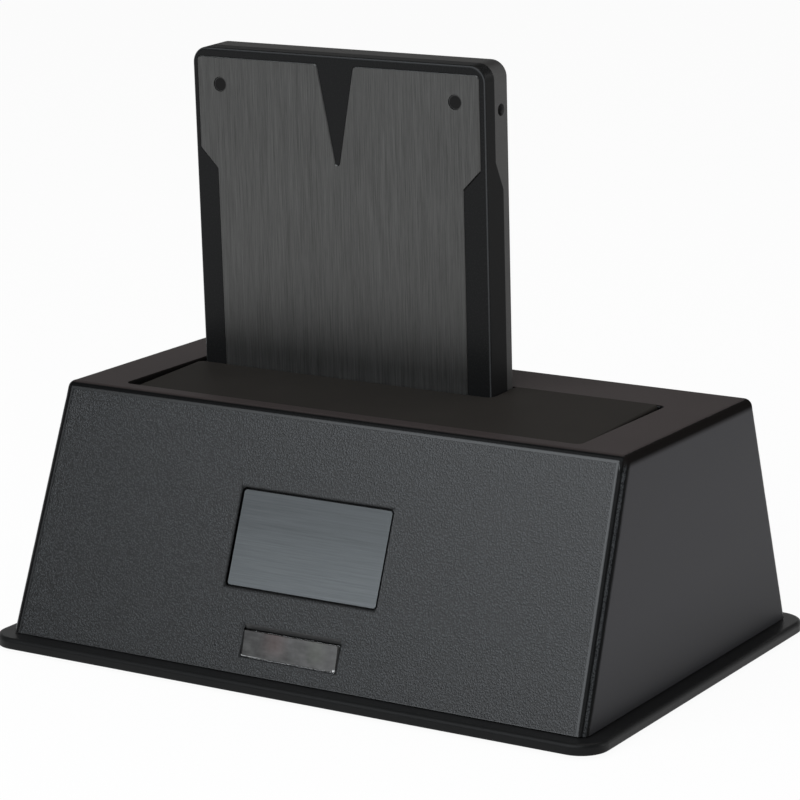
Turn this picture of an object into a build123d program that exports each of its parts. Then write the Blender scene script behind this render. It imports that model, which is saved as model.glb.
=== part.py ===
from build123d import *
import os
from math import cos, degrees, atan2, pi, radians, sin, sqrt, tan

# Docking station for bare hard drives, with a 2.5-inch drive standing in it.
# Millimetres, +Z up, the front faces -Y. The origin is under the middle of the base, on the table.

# Base and rim
base_length = 141.4
base_depth = 96.8
rim_thickness = 2.3
rim_overhang = 3.8
rim_corner_radius = 6.0
rim_edge_radius = 0.9
rim_foot_radius = 0.4
foot_stand = 0.8

# Upper shell: upright sides, sloping front and back
body_height = 49.75
side_run = 1.55
front_run = 19.25
back_run = 14.7
wall = 2.2
side_edge_radius = 1.8
top_edge_radius = 1.75
seam_gap = 0.2
field_depth = 0.12
field_border = 0.35
rib_thickness = 1.2
frame_rib = 0.9
frame_rib_y = 12.5
frame_rib_top = 2.0

# Opening in the top
opening_length = 105.8
opening_depth = 35.9
opening_back = 14.7
opening_corner_radius = 1.2
opening_edge_radius = 0.5

# Name plate and light window in the front
plate_length = 34.5
plate_height = 19.2
plate_thickness = 0.8
plate_gap = 0.45
plate_recess = 1.1
plate_rise = 26.95
plate_corner_radius = 0.6
window_length = 22.0
window_height = 5.1
window_gap = 0.2
window_thickness = 1.1
window_recess = 0.05
window_tilt = 7.0
window_bevel_run = 1.3
window_rise = 6.4
window_corner_radius = 0.4

# Fasteners that close the case
case_screw_x = 59.5
case_screw_y = 21.0
boss_radius = 3.4
boss_foot = 3.0
screw_radius = 1.45
screw_hole_radius = 1.7
screw_head_radius = 2.7
screw_head_height = 2.0
screw_head_gap = 0.3
screw_length = 9.0
pilot_length = 10.0
cross_width = 0.9
cross_depth = 0.9

# Base plate details
lip_wall = 1.3
lip_height = 3.0
lip_gap = 0.25
foot_radius = 5.5
foot_recess = 1.2
foot_gap = 0.15
foot_x = 57.0
foot_y = 36.5
foot_edge_radius = 0.5
vent_length = 16.0
vent_width = 2.0
vent_pitch = 5.0
vent_row_x = 26.0
vent_count = 7

# Slot frame under the opening
frame_ledge = 0.5
frame_back_room = 2.1
frame_wall = 1.8
frame_top_gap = 0.1
frame_floor = 1.8
frame_floor_front = -1.6
frame_apron = 6.4
ear_length = 7.4
ear_width = 7.0
ear_thickness = 2.2
ear_y = 9.5
post_length = 5.0
post_radius = 2.7
frame_screw_x = 59.2
frame_screw_length = 6.0
frame_window_gap = 0.7

# Lid over the large slot, hinged along its front edge
lid_thickness = 2.0
lid_side_gap = 0.8
lid_front_gap = 0.5
lid_back_gap = 0.5
lid_front_drop = 0.95
lid_back_drop = -0.35
lid_corner_radius = 1.4
lid_edge_radius = 0.5
lid_pin_radius = 1.0
lid_pin_setback = 1.8
lid_pin_drop = 4.6
lid_knuckle_radius = 2.0
lid_knuckle_length = 6.0
lid_knuckle_shares = (-0.46, -0.17, 0.17, 0.46)
pin_running_gap = 0.05
pin_seat_gap = 0.02
lid_spring_share = 0.3
spring_pocket_depth = 0.95
notch_gap = 0.45

# Small flap in the lid, behind which the 2.5-inch drive stands
flap_thickness = 1.6
flap_lid_gap = 0.35
flap_knuckle_radius = 1.3
flap_pin_radius = 0.75
flap_knuckle_gap = 0.3
flap_surface_drop = 0.05
flap_drive_gap = 0.45
lug_thickness = 1.6
lug_gap = 0.3
flap_web = 1.6
flap_spring_room = 7.0

# Torsion springs: wire, mean radius of the coil, pitch and turns
spring_wire = 0.45
lid_spring_radius = 1.55
flap_spring_radius = 1.3
spring_pitch = 1.0
spring_turns = 5
spring_leg = 6.0
spring_rib = 0.75

# Main board
board_length = 106.0
board_front = -34.0
board_back_gap = 0.4
board_rise = 5.0
board_thickness = 1.6
board_corner_radius = 1.5
board_screw_x = 48.0
board_screw_front_inset = 5.0
board_screw_back_inset = 14.0
board_hole_radius = 1.5
board_screw_length = 5.0
board_screw_radius = 1.2
board_head_radius = 2.4
board_head_height = 1.6

# Rear bay with the sockets
bay_length = 96.0
bay_top = 22.7
bay_cheek = 1.8
bay_inset = 0.8
panel_thickness = 1.8
panel_gap = 0.15
flange_thickness = 1.0
flange_lap = 1.0
socket_gap = 0.25
socket_proud = 0.3
usb_x = -2.0
usb_width = 12.1
usb_height = 11.4
usb_length = 17.5
usb_wall = 0.4
usb_opening_width = 8.7
usb_opening_height = 7.4
usb_opening_chamfer = 1.6
usb_nub_width = 5.8
usb_nub_height = 1.7
usb_tongue_width = 5.6
usb_tongue_height = 3.2
usb_opening_rise = 0.6
usb_opening_depth = 11.0
usb_tongue_rise = 2.2
insert_set_back = 0.5
tongue_set_back = 1.0
esata_x = -27.0
esata_width = 16.0
esata_height = 7.0
esata_length = 12.5
esata_wall = 0.45
esata_slot_width = 12.0
esata_slot_height = 3.2
esata_tongue_width = 10.4
esata_tongue_height = 1.2
esata_slot_depth = 7.0
jack_x = 38.0
jack_width = 9.2
jack_height = 11.0
jack_length = 14.0
jack_bore_radius = 3.25
jack_bore_depth = 9.5
jack_pin_radius = 1.05
jack_pin_length = 8.5
jack_rise = 6.4

# Power button and its switch
button_x = 20.0
button_rise = 5.6
button_radius = 3.85
button_hole_gap = 0.3
button_proud = 2.0
button_travel = 1.5
button_flange_radius = 4.8
button_flange_thickness = 1.3
button_flange_gap = 0.3
button_edge_radius = 0.6
plunger_radius = 1.7
plunger_gap = 0.3
plunger_length = 3.6
switch_width = 8.4
switch_height = 8.6
switch_length = 9.0
switch_room = 2.1

# Parts on the board
chip_size = 12.0
chip_height = 1.4
chip_stand = 0.25
chip_corner = 0.5
chip_x = 14.0
chip_y = -14.0
chip_edge = 0.15
lead_count = 12
lead_pitch = 0.8
lead_width = 0.35
lead_length = 1.3
lead_thickness = 0.18
memory_length = 6.0
memory_width = 5.0
memory_height = 1.7
memory_x = -4.0
memory_y = -14.0
can_radius = 2.6
can_height = 5.0
can_base_height = 1.1
can_edge_radius = 0.4
can_row_x = 35.0
can_row_y = -26.0
can_pitch = 7.0
can_count = 3
coil_size = 6.4
coil_height = 3.2
coil_corner = 1.4
coil_x = -30.0
coil_pitch = 10.0
coil_y = -14.0
crystal_length = 10.5
crystal_width = 4.4
crystal_height = 3.4
crystal_x = 30.0
crystal_y = -8.0
led_radius = 1.5
led_length = 4.6
led_spacing = 8.6
led_rise = 2.2
led_tip_radius = 1.2
led_tip_y = -36.5
led_leg = 0.45
led_leg_spacing = 2.0
guide_lap = 0.9
guide_gap = 0.3
guide_lip_gap = 0.5
led_holder_depth = 3.4
led_holder_height = 4.2
led_holder_wall = 1.6
led_holder_gap = 0.3

# Socket for the drive on the board, in the drive's own leaning frame
socket_side = 0.9
socket_front = 2.6
socket_back = 9.0
socket_shoulder_gap = 0.4
nose_inset = 0.95
nose_front = 3.7
nose_back = 8.3
nose_height = 4.4
nose_edge_radius = 0.3
tongue_gap = 0.3
slot_bottom = 0.2
contact_thickness = 0.1
contact_width = 0.75
contact_pitch = 1.27
contact_inset = 0.8

# 2.5-inch drive
drive_width = 69.85
drive_length = 100.2
drive_thickness = 9.5
drive_lean = 2.3
drive_seat_rise = 10.2
drive_left_gap = 1.75
drive_back_gap = 0.45
drive_seat_gap = 0.4
drive_corner_radius = 3.4
drive_edge_radius = 0.6
drive_face_wall = 1.3
drive_side_wall = 1.3
drive_back_wall = 1.0
face_proud = 0.2
face_thickness = 0.7
face_gap = 0.08
face_side_inset = 1.3
face_top_inset = 1.85
face_foot_inset = 4.0
face_step = 4.05
face_step_top = 21.1
face_step_run = 4.2
face_corner_radius = 0.8
face_bevel = 0.18
notch_half_width = 4.35
notch_depth = 23.0
notch_tip_radius = 0.55
band_top = 4.0
band_low = 6.9
band_step_top = 19.9
band_step_run = 5.9
stud_radius = 1.45
stud_gap = 0.1
stud_sink = 0.15
stud_inset = 6.8
stud_drop = 7.5
stud_shank_radius = 0.8
stud_shank_length = 1.6
side_hole_radius = 1.25
side_hole_back = 3.0
side_hole_low = 14.0
side_hole_high = 90.6
side_hole_length = 4.4
side_boss = 5.2
side_boss_height = 5.2
connector_left = 4.3
connector_width = 43.1
connector_mouth_front = 3.2
connector_mouth_back = 8.75
housing_inset = 0.3
housing_back = 8.2
housing_low = 5.0
housing_high = 10.0
tongue_thickness = 1.2
tongue_back = 3.5
tongue_low = 0.7
power_tongue_left = 8.7
power_tongue_width = 20.6
signal_tongue_left = 32.5
signal_tongue_width = 10.4
tongue_leg = 0.8
power_contacts = 15
signal_contacts = 7
pcb_front = 2.9
pcb_thickness = 1.0
pcb_inset = 2.6
pcb_corner_radius = 1.0
memory_chip_length = 18.0
memory_chip_width = 12.0
memory_chip_height = 1.1
memory_chip_pitch_x = 22.0
memory_chip_pitch_y = 24.0
memory_chip_rise = 50.0
controller_size = 13.0
controller_rise = 24.0
case_screw_inset = 6.5
case_screw_rise = 24.0
case_screw_head = 2.1
case_screw_head_height = 0.6
case_screw_shank = 0.9
case_screw_shank_length = 2.8
case_post_radius = 2.2

# How far a cut runs past the faces that it opens
overrun = 1.0

# Places that follow from the sizes above
rim_top = foot_stand + rim_thickness
body_top = rim_top + body_height
body_length = base_length - 2 * rim_overhang
body_depth = base_depth - 2 * rim_overhang
front_angle = atan2(front_run, body_height)
front_slope = sqrt(front_run**2 + body_height**2)
opening_front = opening_back - opening_depth
board_bottom = rim_top + board_rise
board_top = board_bottom + board_thickness
shell_ceiling = body_top - wall
boss_base = rim_top + boss_foot
pilot_radius = screw_radius + pin_seat_gap

lean = radians(drive_lean)
drive_back_dir = Vector(0, cos(lean), sin(lean))
drive_up_dir = Vector(0, -sin(lean), cos(lean))
drive_depth_below = (body_top - board_top - drive_seat_rise) / cos(lean)
drive_foot = Vector(
    -opening_length / 2 + drive_left_gap,
    opening_back - drive_back_gap - drive_thickness / cos(lean) + drive_depth_below * sin(lean),
    board_top + drive_seat_rise,
)


def body_section(height):
    """Length, front and back of the body at a height."""
    climb = (height - rim_top) / body_height
    length = body_length - 2 * side_run * climb
    return length, -body_depth / 2 + front_run * climb, body_depth / 2 - back_run * climb


def body_face(height, inset=0):
    """Level outline of the body at a height, drawn in by an inset."""
    length, front, back = body_section(height)
    with BuildSketch(Plane.XY.offset(height)) as outline:
        with Locations((0, (front + back) / 2)):
            Rectangle(length - 2 * inset, back - front - 2 * inset)
    return outline.sketch


def block(x, y, z, mode=Mode.ADD):
    """Box between two places on each axis, in the part being built."""
    with Locations(((x[0] + x[1]) / 2, (y[0] + y[1]) / 2, (z[0] + z[1]) / 2)):
        Box(x[1] - x[0], y[1] - y[0], z[1] - z[0], mode=mode)


def rod(start, along, radius, length, mode=Mode.ADD):
    """Round bar from a point along X, Y or Z, in the part being built."""
    turns = {"X": (0, 90, 0), "Y": (-90, 0, 0), "Z": (0, 0, 0)}
    with Locations(Location(start, turns[along])):
        Cylinder(radius, length, align=(Align.CENTER, Align.CENTER, Align.MIN), mode=mode)


def drive_plane(behind=0, above=0):
    """Plane across the drive, seen from the front, with its origin at the drive's lower left."""
    origin = drive_foot + drive_back_dir * behind + drive_up_dir * above
    return Plane(origin=origin, x_dir=(1, 0, 0), z_dir=-drive_back_dir)


def drive_side_plane(across=0):
    """Plane along the drive's side: first axis to the back, second up."""
    origin = drive_foot + Vector(across, 0, 0)
    return Plane(origin=origin, x_dir=drive_back_dir, z_dir=(1, 0, 0))


def drive_block(across, behind, above, mode=Mode.ADD):
    """Box in the drive's frame, in the part being built."""
    with BuildSketch(drive_plane(behind[0])) as outline:
        with Locations(((across[0] + across[1]) / 2, (above[0] + above[1]) / 2)):
            Rectangle(across[1] - across[0], above[1] - above[0])
    extrude(outline.sketch, amount=-(behind[1] - behind[0]), mode=mode)


def drive_rod(across, above, behind, radius, mode=Mode.ADD):
    """Round bar through the drive's thickness, in the part being built."""
    with BuildSketch(drive_plane(behind[0])) as outline:
        with Locations((across, above)):
            Circle(radius)
    extrude(outline.sketch, amount=-(behind[1] - behind[0]), mode=mode)


bay_face = body_section(bay_top)[2] - bay_inset
front_plane = Plane(
    origin=(0, -body_depth / 2, rim_top), x_dir=(1, 0, 0), z_dir=(0, -cos(front_angle), sin(front_angle))
)
window_foot = front_plane.from_local_coords((0, window_rise - window_height / 2, -window_recess))
window_angle = front_angle - radians(window_tilt)
window_plane = Plane(
    origin=window_foot, x_dir=(1, 0, 0), z_dir=(0, -cos(window_angle), sin(window_angle))
)
case_screw_places = [(x, y) for x in (-case_screw_x, case_screw_x) for y in (-case_screw_y, case_screw_y)]
frame_screw_places = [(x, y) for x in (-frame_screw_x, frame_screw_x) for y in (-ear_y, ear_y)]
board_back = bay_face - panel_thickness - flange_thickness - board_back_gap
board_screw_places = [
    (x, y)
    for x in (-board_screw_x, board_screw_x)
    for y in (board_front + board_screw_front_inset, board_back - board_screw_back_inset)
]
foot_places = [(x, y) for x in (-foot_x, foot_x) for y in (-foot_y, foot_y)]

# Base plate with its rim, locating lip, bosses, posts, foot recesses and vents
with BuildPart() as base_plate:
    with BuildSketch(Plane.XY.offset(foot_stand)):
        RectangleRounded(base_length, base_depth, rim_corner_radius)
    extrude(amount=rim_thickness)
    fillet(base_plate.faces().sort_by(Axis.Z)[-1].edges(), rim_edge_radius)
    fillet(base_plate.faces().sort_by(Axis.Z)[0].edges(), rim_foot_radius)
    lip_length, lip_front, lip_back = body_section(rim_top + lip_height)
    lip_inset = wall + lip_gap
    with BuildSketch(Plane.XY.offset(rim_top)):
        with Locations((0, (lip_front + lip_back) / 2)):
            Rectangle(lip_length - 2 * lip_inset, lip_back - lip_front - 2 * lip_inset)
            Rectangle(
                lip_length - 2 * lip_inset - 2 * lip_wall,
                lip_back - lip_front - 2 * lip_inset - 2 * lip_wall,
                mode=Mode.SUBTRACT,
            )
    extrude(amount=lip_height)
    bay_half = bay_length / 2 + bay_cheek + lip_gap
    block(
        (-bay_half, bay_half),
        (bay_face - panel_thickness - lip_gap, body_depth / 2),
        (rim_top, rim_top + lip_height),
        mode=Mode.SUBTRACT,
    )
    guide_half = window_length / 2 + guide_lap + guide_lip_gap
    block(
        (-guide_half, guide_half),
        (-body_depth / 2, board_front - guide_lip_gap),
        (rim_top, rim_top + lip_height),
        mode=Mode.SUBTRACT,
    )
    bore_start = foot_stand - overrun
    for x, y in case_screw_places:
        rod((x, y, rim_top), "Z", boss_radius, boss_foot)
        bore = boss_foot + rim_thickness + 2 * overrun
        rod((x, y, bore_start), "Z", screw_hole_radius, bore, Mode.SUBTRACT)
        sink = screw_head_height + rim_foot_radius + overrun
        rod((x, y, bore_start), "Z", screw_head_radius + screw_head_gap, sink, Mode.SUBTRACT)
    for x, y in board_screw_places:
        rod((x, y, rim_top), "Z", boss_radius, board_rise)
        rod((x, y, rim_top), "Z", board_screw_radius + pin_seat_gap, board_rise + overrun, Mode.SUBTRACT)
    for x, y in foot_places:
        rod((x, y, bore_start), "Z", foot_radius + foot_gap, foot_recess + overrun, Mode.SUBTRACT)
    for row in (-1, 1):
        with BuildSketch(Plane.XY.offset(foot_stand - overrun)):
            with Locations((row * vent_row_x, 0)):
                with GridLocations(0, vent_pitch, 1, vent_count):
                    SlotOverall(vent_length, vent_width)
        extrude(amount=rim_thickness + 2 * overrun, mode=Mode.SUBTRACT)
base_plate.part.label = "base_plate"
export_step(base_plate.part, "parts/base_plate.step")

# Rubber feet, one group
with BuildPart() as rubber_feet:
    for x, y in foot_places:
        rod((x, y, 0), "Z", foot_radius, foot_stand + foot_recess)
    fillet(rubber_feet.edges().group_by(Axis.Z)[0], foot_edge_radius)
rubber_feet.part.label = "rubber_feet"
export_step(rubber_feet.part, "parts/rubber_feet.step")


def screw_group(places, head_low, head_radius, head_height, shank_radius, shank_length, up):
    """Pan-head screws with a cross slot: the shank points up or down from the head."""
    for x, y in places:
        rod((x, y, head_low), "Z", head_radius, head_height)
        shank_low = head_low + head_height if up else head_low - shank_length
        rod((x, y, shank_low), "Z", shank_radius, shank_length)
        slot_low = head_low if up else head_low + head_height - cross_depth
        long_half = head_radius / 2
        short_half = cross_width / 2
        for half_x, half_y in ((long_half, short_half), (short_half, long_half)):
            block(
                (x - half_x, x + half_x), (y - half_y, y + half_y), (slot_low, slot_low + cross_depth),
                mode=Mode.SUBTRACT,
            )


# Screws that hold the base plate to the upper shell
with BuildPart() as base_screws:
    head_base = foot_stand + rim_foot_radius
    screw_group(
        case_screw_places, head_base, screw_head_radius, screw_head_height, screw_radius, screw_length, True
    )
base_screws.part.label = "base_screws"
export_step(base_screws.part, "parts/base_screws.step")

# Upper shell, one moulding with its bosses and posts
with BuildPart() as shell_cavity:
    loft([body_face(rim_top - overrun, wall), body_face(shell_ceiling, wall)])
    bay_half = bay_length / 2 + bay_cheek
    block(
        (-bay_half, bay_half),
        (bay_face - panel_thickness, body_depth),
        (rim_top - 2 * overrun, bay_top + bay_cheek),
        mode=Mode.SUBTRACT,
    )

with BuildPart() as upper_shell:
    loft([body_face(rim_top + seam_gap), body_face(body_top)])
    fillet(upper_shell.edges().filter_by(lambda edge: abs(edge.tangent_at(0).Z) > 0.5), side_edge_radius)
    fillet(upper_shell.faces().sort_by(Axis.Z)[-1].edges(), top_edge_radius)
    add(shell_cavity.part, mode=Mode.SUBTRACT)
    with BuildSketch(Plane.XY.offset(body_top)):
        with Locations((0, (opening_front + opening_back) / 2)):
            RectangleRounded(opening_length, opening_depth, opening_corner_radius)
    extrude(amount=-(wall + overrun), mode=Mode.SUBTRACT)
    opening_edges = upper_shell.edges().filter_by(
        lambda edge: abs(edge.center().Z - body_top) < opening_edge_radius
        and abs(edge.center().X) < opening_length / 2 + opening_edge_radius
        and opening_front - opening_edge_radius < edge.center().Y < opening_back + opening_edge_radius
    )
    fillet(opening_edges, opening_edge_radius)
    field_low = front_slope * seam_gap / body_height + field_border
    top_edge_run = top_edge_radius * tan((pi / 2 - front_angle) / 2)
    field_high = front_slope - top_edge_run - field_border
    field_inset = side_edge_radius + field_border
    with BuildSketch(front_plane):
        low_half = body_length / 2 - field_inset
        high_half = body_length / 2 - side_run - field_inset
        Polygon(
            (-low_half, field_low), (low_half, field_low), (high_half, field_high), (-high_half, field_high),
            align=None,
        )
    extrude(amount=-field_depth, mode=Mode.SUBTRACT)
    with BuildSketch(front_plane):
        with Locations((0, plate_rise)):
            RectangleRounded(
                plate_length + 2 * plate_gap, plate_height + 2 * plate_gap, plate_corner_radius + plate_gap
            )
    extrude(amount=-plate_recess, mode=Mode.SUBTRACT)
    with BuildSketch(front_plane):
        with Locations((0, window_rise)):
            RectangleRounded(
                window_length + 2 * window_gap,
                window_height + 2 * window_gap,
                window_corner_radius + window_gap,
            )
    extrude(amount=-2 * wall, mode=Mode.SUBTRACT)
    opening_half = window_length / 2 + window_gap
    opening_top = window_rise + window_height / 2 + window_gap
    bevel_depth = window_recess + window_height * sin(radians(window_tilt))
    bevel_start = front_plane.from_local_coords((-opening_half, opening_top, 0))
    with BuildSketch(Plane(origin=bevel_start, x_dir=front_plane.y_dir, z_dir=(1, 0, 0))):
        Polygon(
            (window_bevel_run, 0), (window_bevel_run, overrun), (-window_gap, overrun),
            (-window_gap, -bevel_depth), (0, -bevel_depth),
            align=None,
        )
    extrude(amount=2 * opening_half, mode=Mode.SUBTRACT)
    block(
        (-bay_length / 2, bay_length / 2), (bay_face - panel_thickness - overrun, body_depth), (0, bay_top),
        mode=Mode.SUBTRACT,
    )
    for x, y in case_screw_places:
        rod((x, y, boss_base), "Z", boss_radius, shell_ceiling - boss_base + wall / 2)
        rod((x, y, boss_base - overrun), "Z", pilot_radius, pilot_length + overrun, Mode.SUBTRACT)
        side = 1 if x > 0 else -1
        rib_end = body_length / 2 - side_run - wall / 2
        block(
            sorted((x + side * boss_radius / 2, side * rib_end)),
            (y - rib_thickness / 2, y + rib_thickness / 2),
            (rim_top + body_height / 2, shell_ceiling + wall / 2),
        )
        rod((x, y, boss_base - overrun), "Z", pilot_radius, pilot_length + overrun, Mode.SUBTRACT)
    post_base = shell_ceiling - post_length
    for x, y in frame_screw_places:
        rod((x, y, post_base), "Z", post_radius, post_length + wall / 2)
        rod((x, y, post_base - overrun), "Z", pilot_radius, post_length, Mode.SUBTRACT)
upper_shell.part.label = "upper_shell"
export_step(upper_shell.part, "parts/upper_shell.step")

# Bare name plate in its recess
with BuildPart() as name_plate:
    with BuildSketch(front_plane.offset(-plate_recess)):
        with Locations((0, plate_rise)):
            RectangleRounded(plate_length, plate_height, plate_corner_radius)
    extrude(amount=plate_thickness)
name_plate.part.label = "name_plate"
export_step(name_plate.part, "parts/name_plate.step")

# Smoked window in front of the indicator lights, steeper than the front, so its top lies deeper
with BuildPart() as light_window:
    with BuildSketch(window_plane):
        with Locations((0, window_height / 2)):
            RectangleRounded(window_length, window_height, window_corner_radius)
    extrude(amount=-window_thickness)
light_window.part.label = "light_window"
export_step(light_window.part, "parts/light_window.step")

# Lid and flap: their shared lines and pins
lid_half = opening_length / 2 - lid_side_gap
lid_front = opening_front + lid_front_gap
lid_back = opening_back - lid_back_gap
lid_pin_y = lid_front + lid_pin_setback
lid_pin_z = body_top - lid_pin_drop


def lid_surface(y):
    """Height of the lid's upper face, which falls towards the front."""
    share = (y - lid_front) / (lid_back - lid_front)
    return body_top - lid_front_drop + (lid_front_drop - lid_back_drop) * share


def drive_front_at(height):
    """Place of the drive's front face at a height."""
    return drive_foot.Y - (height - drive_foot.Z) * tan(lean)


notch_front = drive_front_at(body_top) - notch_gap
notch_right = drive_foot.X + drive_width + notch_gap
flap_pin_z = lid_surface(0) - lid_thickness - flap_knuckle_gap - flap_knuckle_radius
flap_rise = lid_surface(notch_front) - flap_surface_drop - flap_pin_z
flap_pin_y = drive_front_at(flap_pin_z) - flap_drive_gap - flap_rise
flap_near = notch_front + flap_lid_gap - flap_pin_y
flap_far = lid_back - flap_pin_y
flap_left = -lid_half
flap_right = notch_right - lug_gap
lid_knuckle_places = [share * 2 * lid_half for share in lid_knuckle_shares]
lid_spring_places = [-lid_spring_share * 2 * lid_half, lid_spring_share * 2 * lid_half]
spring_length = spring_turns * spring_pitch
lug_places = (flap_left + lug_thickness, (flap_left + flap_right) / 2, flap_right - lug_thickness)
flap_spring_x = (flap_left + 3 * flap_right) / 4

# Slot frame: walls, back and floor round the slot, with the hinge holes of the lid
frame_half = opening_length / 2 + frame_ledge
frame_inner_front = opening_front - frame_ledge
frame_inner_back = opening_back + frame_back_room
frame_top = shell_ceiling - frame_top_gap
floor_top = drive_foot.Z - drive_seat_gap
socket_left = drive_foot.X + connector_left - socket_side
socket_right = drive_foot.X + connector_left + connector_width + socket_side
with BuildPart() as slot_frame:
    outer_half = frame_half + frame_wall
    block(
        (-outer_half, outer_half),
        (frame_inner_front - frame_wall, frame_inner_back + frame_wall),
        (floor_top - frame_floor, frame_top),
    )
    block(
        (-frame_half, frame_half), (frame_inner_front, frame_inner_back), (floor_top, frame_top + overrun),
        mode=Mode.SUBTRACT,
    )
    block(
        (-frame_half, frame_half),
        (frame_inner_front, frame_floor_front),
        (floor_top - frame_floor - overrun, frame_top),
        mode=Mode.SUBTRACT,
    )
    block(
        (-frame_half, frame_half),
        (frame_inner_front - frame_wall - overrun, frame_inner_front),
        (floor_top - frame_floor - overrun, frame_top - frame_apron),
        mode=Mode.SUBTRACT,
    )
    window_low = drive_foot.Y + socket_front - frame_window_gap
    block(
        (socket_left - frame_window_gap, socket_right + frame_window_gap),
        (window_low, frame_inner_back),
        (floor_top - frame_floor - overrun, floor_top + overrun),
        mode=Mode.SUBTRACT,
    )
    pin_start = (-outer_half - overrun, lid_pin_y, lid_pin_z)
    rod(pin_start, "X", lid_pin_radius + pin_seat_gap, 2 * (outer_half + overrun), Mode.SUBTRACT)
    for side in (-1, 1):
        for y in (-frame_rib_y, frame_rib_y):
            block(
                sorted((side * (frame_half - frame_rib), side * (frame_half + frame_wall / 2))),
                (y - frame_rib / 2, y + frame_rib / 2),
                (floor_top - frame_floor, frame_top - frame_apron - frame_rib_top),
            )
    for x, y in frame_screw_places:
        side = 1 if x > 0 else -1
        block(
            sorted((side * (outer_half - frame_wall / 2), side * (outer_half + ear_length))),
            (y - ear_width / 2, y + ear_width / 2),
            (post_base - ear_thickness, post_base),
        )
        ear_base = post_base - ear_thickness
        rod((x, y, ear_base - overrun), "Z", screw_hole_radius, ear_thickness + 2 * overrun, Mode.SUBTRACT)
    for place in lid_spring_places:
        rib_low = place - spring_wire
        block(
            (rib_low, rib_low + 2 * spring_wire),
            (frame_inner_front - frame_wall / 2, frame_inner_front + spring_rib),
            (frame_top - frame_apron, lid_pin_z - lid_pin_radius),
        )
slot_frame.part.label = "slot_frame"
export_step(slot_frame.part, "parts/slot_frame.step")

# Screws that hold the slot frame under the upper shell
with BuildPart() as frame_screws:
    screw_group(
        frame_screw_places, ear_base - screw_head_height, screw_head_radius, screw_head_height,
        screw_radius, frame_screw_length, True,
    )
frame_screws.part.label = "frame_screws"
export_step(frame_screws.part, "parts/frame_screws.step")

# Lid: a sloping plate with a notch for the 2.5-inch drive, hinge knuckles and lugs for the flap's pin
with BuildPart() as lid:
    with BuildSketch(Plane.YZ.offset(-lid_half)):
        with BuildLine():
            Polyline(
                (lid_front, lid_surface(lid_front)),
                (lid_back, lid_surface(lid_back)),
                (lid_back, lid_surface(lid_back) - lid_thickness),
                (lid_front, lid_surface(lid_front) - lid_thickness),
                close=True,
            )
        make_face()
    extrude(amount=2 * lid_half)
    block(
        (-lid_half - overrun, notch_right), (notch_front, lid_back + overrun),
        (body_top - lid_pin_drop, body_top + overrun), mode=Mode.SUBTRACT,
    )
    fillet(lid.edges().filter_by(Axis.Z), lid_corner_radius)
    fillet(lid.faces().sort_by(Axis.Z)[-1].edges(), lid_edge_radius)
    for place in lid_knuckle_places:
        knuckle_start = (place - lid_knuckle_length / 2, lid_pin_y, lid_pin_z)
        rod(knuckle_start, "X", lid_knuckle_radius, lid_knuckle_length)
    for place in lug_places:
        block(
            (place - lug_thickness / 2, place + lug_thickness / 2),
            (flap_pin_y - flap_knuckle_radius, flap_pin_y + flap_knuckle_radius),
            (flap_pin_z, lid_surface(flap_pin_y) - lid_thickness / 2),
        )
        rod((place - lug_thickness / 2, flap_pin_y, flap_pin_z), "X", flap_knuckle_radius, lug_thickness)
    rod(pin_start, "X", lid_pin_radius + pin_running_gap, 2 * (outer_half + overrun), Mode.SUBTRACT)
    flap_pin_start = (flap_left, flap_pin_y, flap_pin_z)
    rod(flap_pin_start, "X", flap_pin_radius + pin_seat_gap, flap_right - flap_left, Mode.SUBTRACT)
    for place in lid_spring_places:
        block(
            (place - spring_pitch, place + spring_length + spring_pitch),
            (lid_pin_y - lid_spring_radius - spring_wire, lid_pin_y + spring_leg + spring_wire),
            (lid_pin_z, lid_surface(lid_front) - lid_thickness + spring_pocket_depth),
            mode=Mode.SUBTRACT,
        )
lid.part.label = "lid"
export_step(lid.part, "parts/lid.step")

# Steel rod that the lid turns on
with BuildPart() as lid_pin:
    rod((-outer_half, lid_pin_y, lid_pin_z), "X", lid_pin_radius, 2 * outer_half)
    chamfer(lid_pin.edges(), lid_pin_radius / 4)
lid_pin.part.label = "lid_pin"
export_step(lid_pin.part, "parts/lid_pin.step")

# Small flap, pushed open by the drive, hanging in front of it
with BuildPart() as flap:
    block(
        (flap_left, flap_right),
        (flap_pin_y + flap_rise - flap_thickness, flap_pin_y + flap_rise),
        (flap_pin_z - flap_far, flap_pin_z - flap_near),
    )
    fillet(flap.edges().filter_by(Axis.Y).group_by(Axis.Z)[0], lid_corner_radius / 2)
    knuckles = (
        (lug_places[0] + lug_thickness / 2 + lug_gap, lug_places[1] - lug_thickness / 2 - lug_gap),
        (lug_places[1] + lug_thickness / 2 + lug_gap, flap_spring_x - flap_spring_room / 2),
    )
    for low, high in knuckles:
        rod((low, flap_pin_y, flap_pin_z), "X", flap_knuckle_radius, high - low)
        block(
            (low, high), (flap_pin_y - flap_knuckle_radius, flap_pin_y + flap_knuckle_radius),
            (flap_pin_z - flap_near - flap_web, flap_pin_z),
        )
        block(
            (low, high), (flap_pin_y, flap_pin_y + flap_rise - flap_thickness / 2),
            (flap_pin_z - flap_near - flap_web, flap_pin_z - flap_near),
        )
    rod(flap_pin_start, "X", flap_pin_radius + pin_running_gap, flap_right - flap_left, Mode.SUBTRACT)
flap.part.label = "flap"
export_step(flap.part, "parts/flap.step")

# Pin of the flap, held in the lid's lugs
with BuildPart() as flap_pin:
    rod(
        (lug_places[0] - lug_thickness / 2, flap_pin_y, flap_pin_z), "X", flap_pin_radius,
        lug_places[2] - lug_places[0] + lug_thickness,
    )
    chamfer(flap_pin.edges(), flap_pin_radius / 4)
flap_pin.part.label = "flap_pin"
export_step(flap_pin.part, "parts/flap_pin.step")


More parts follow.
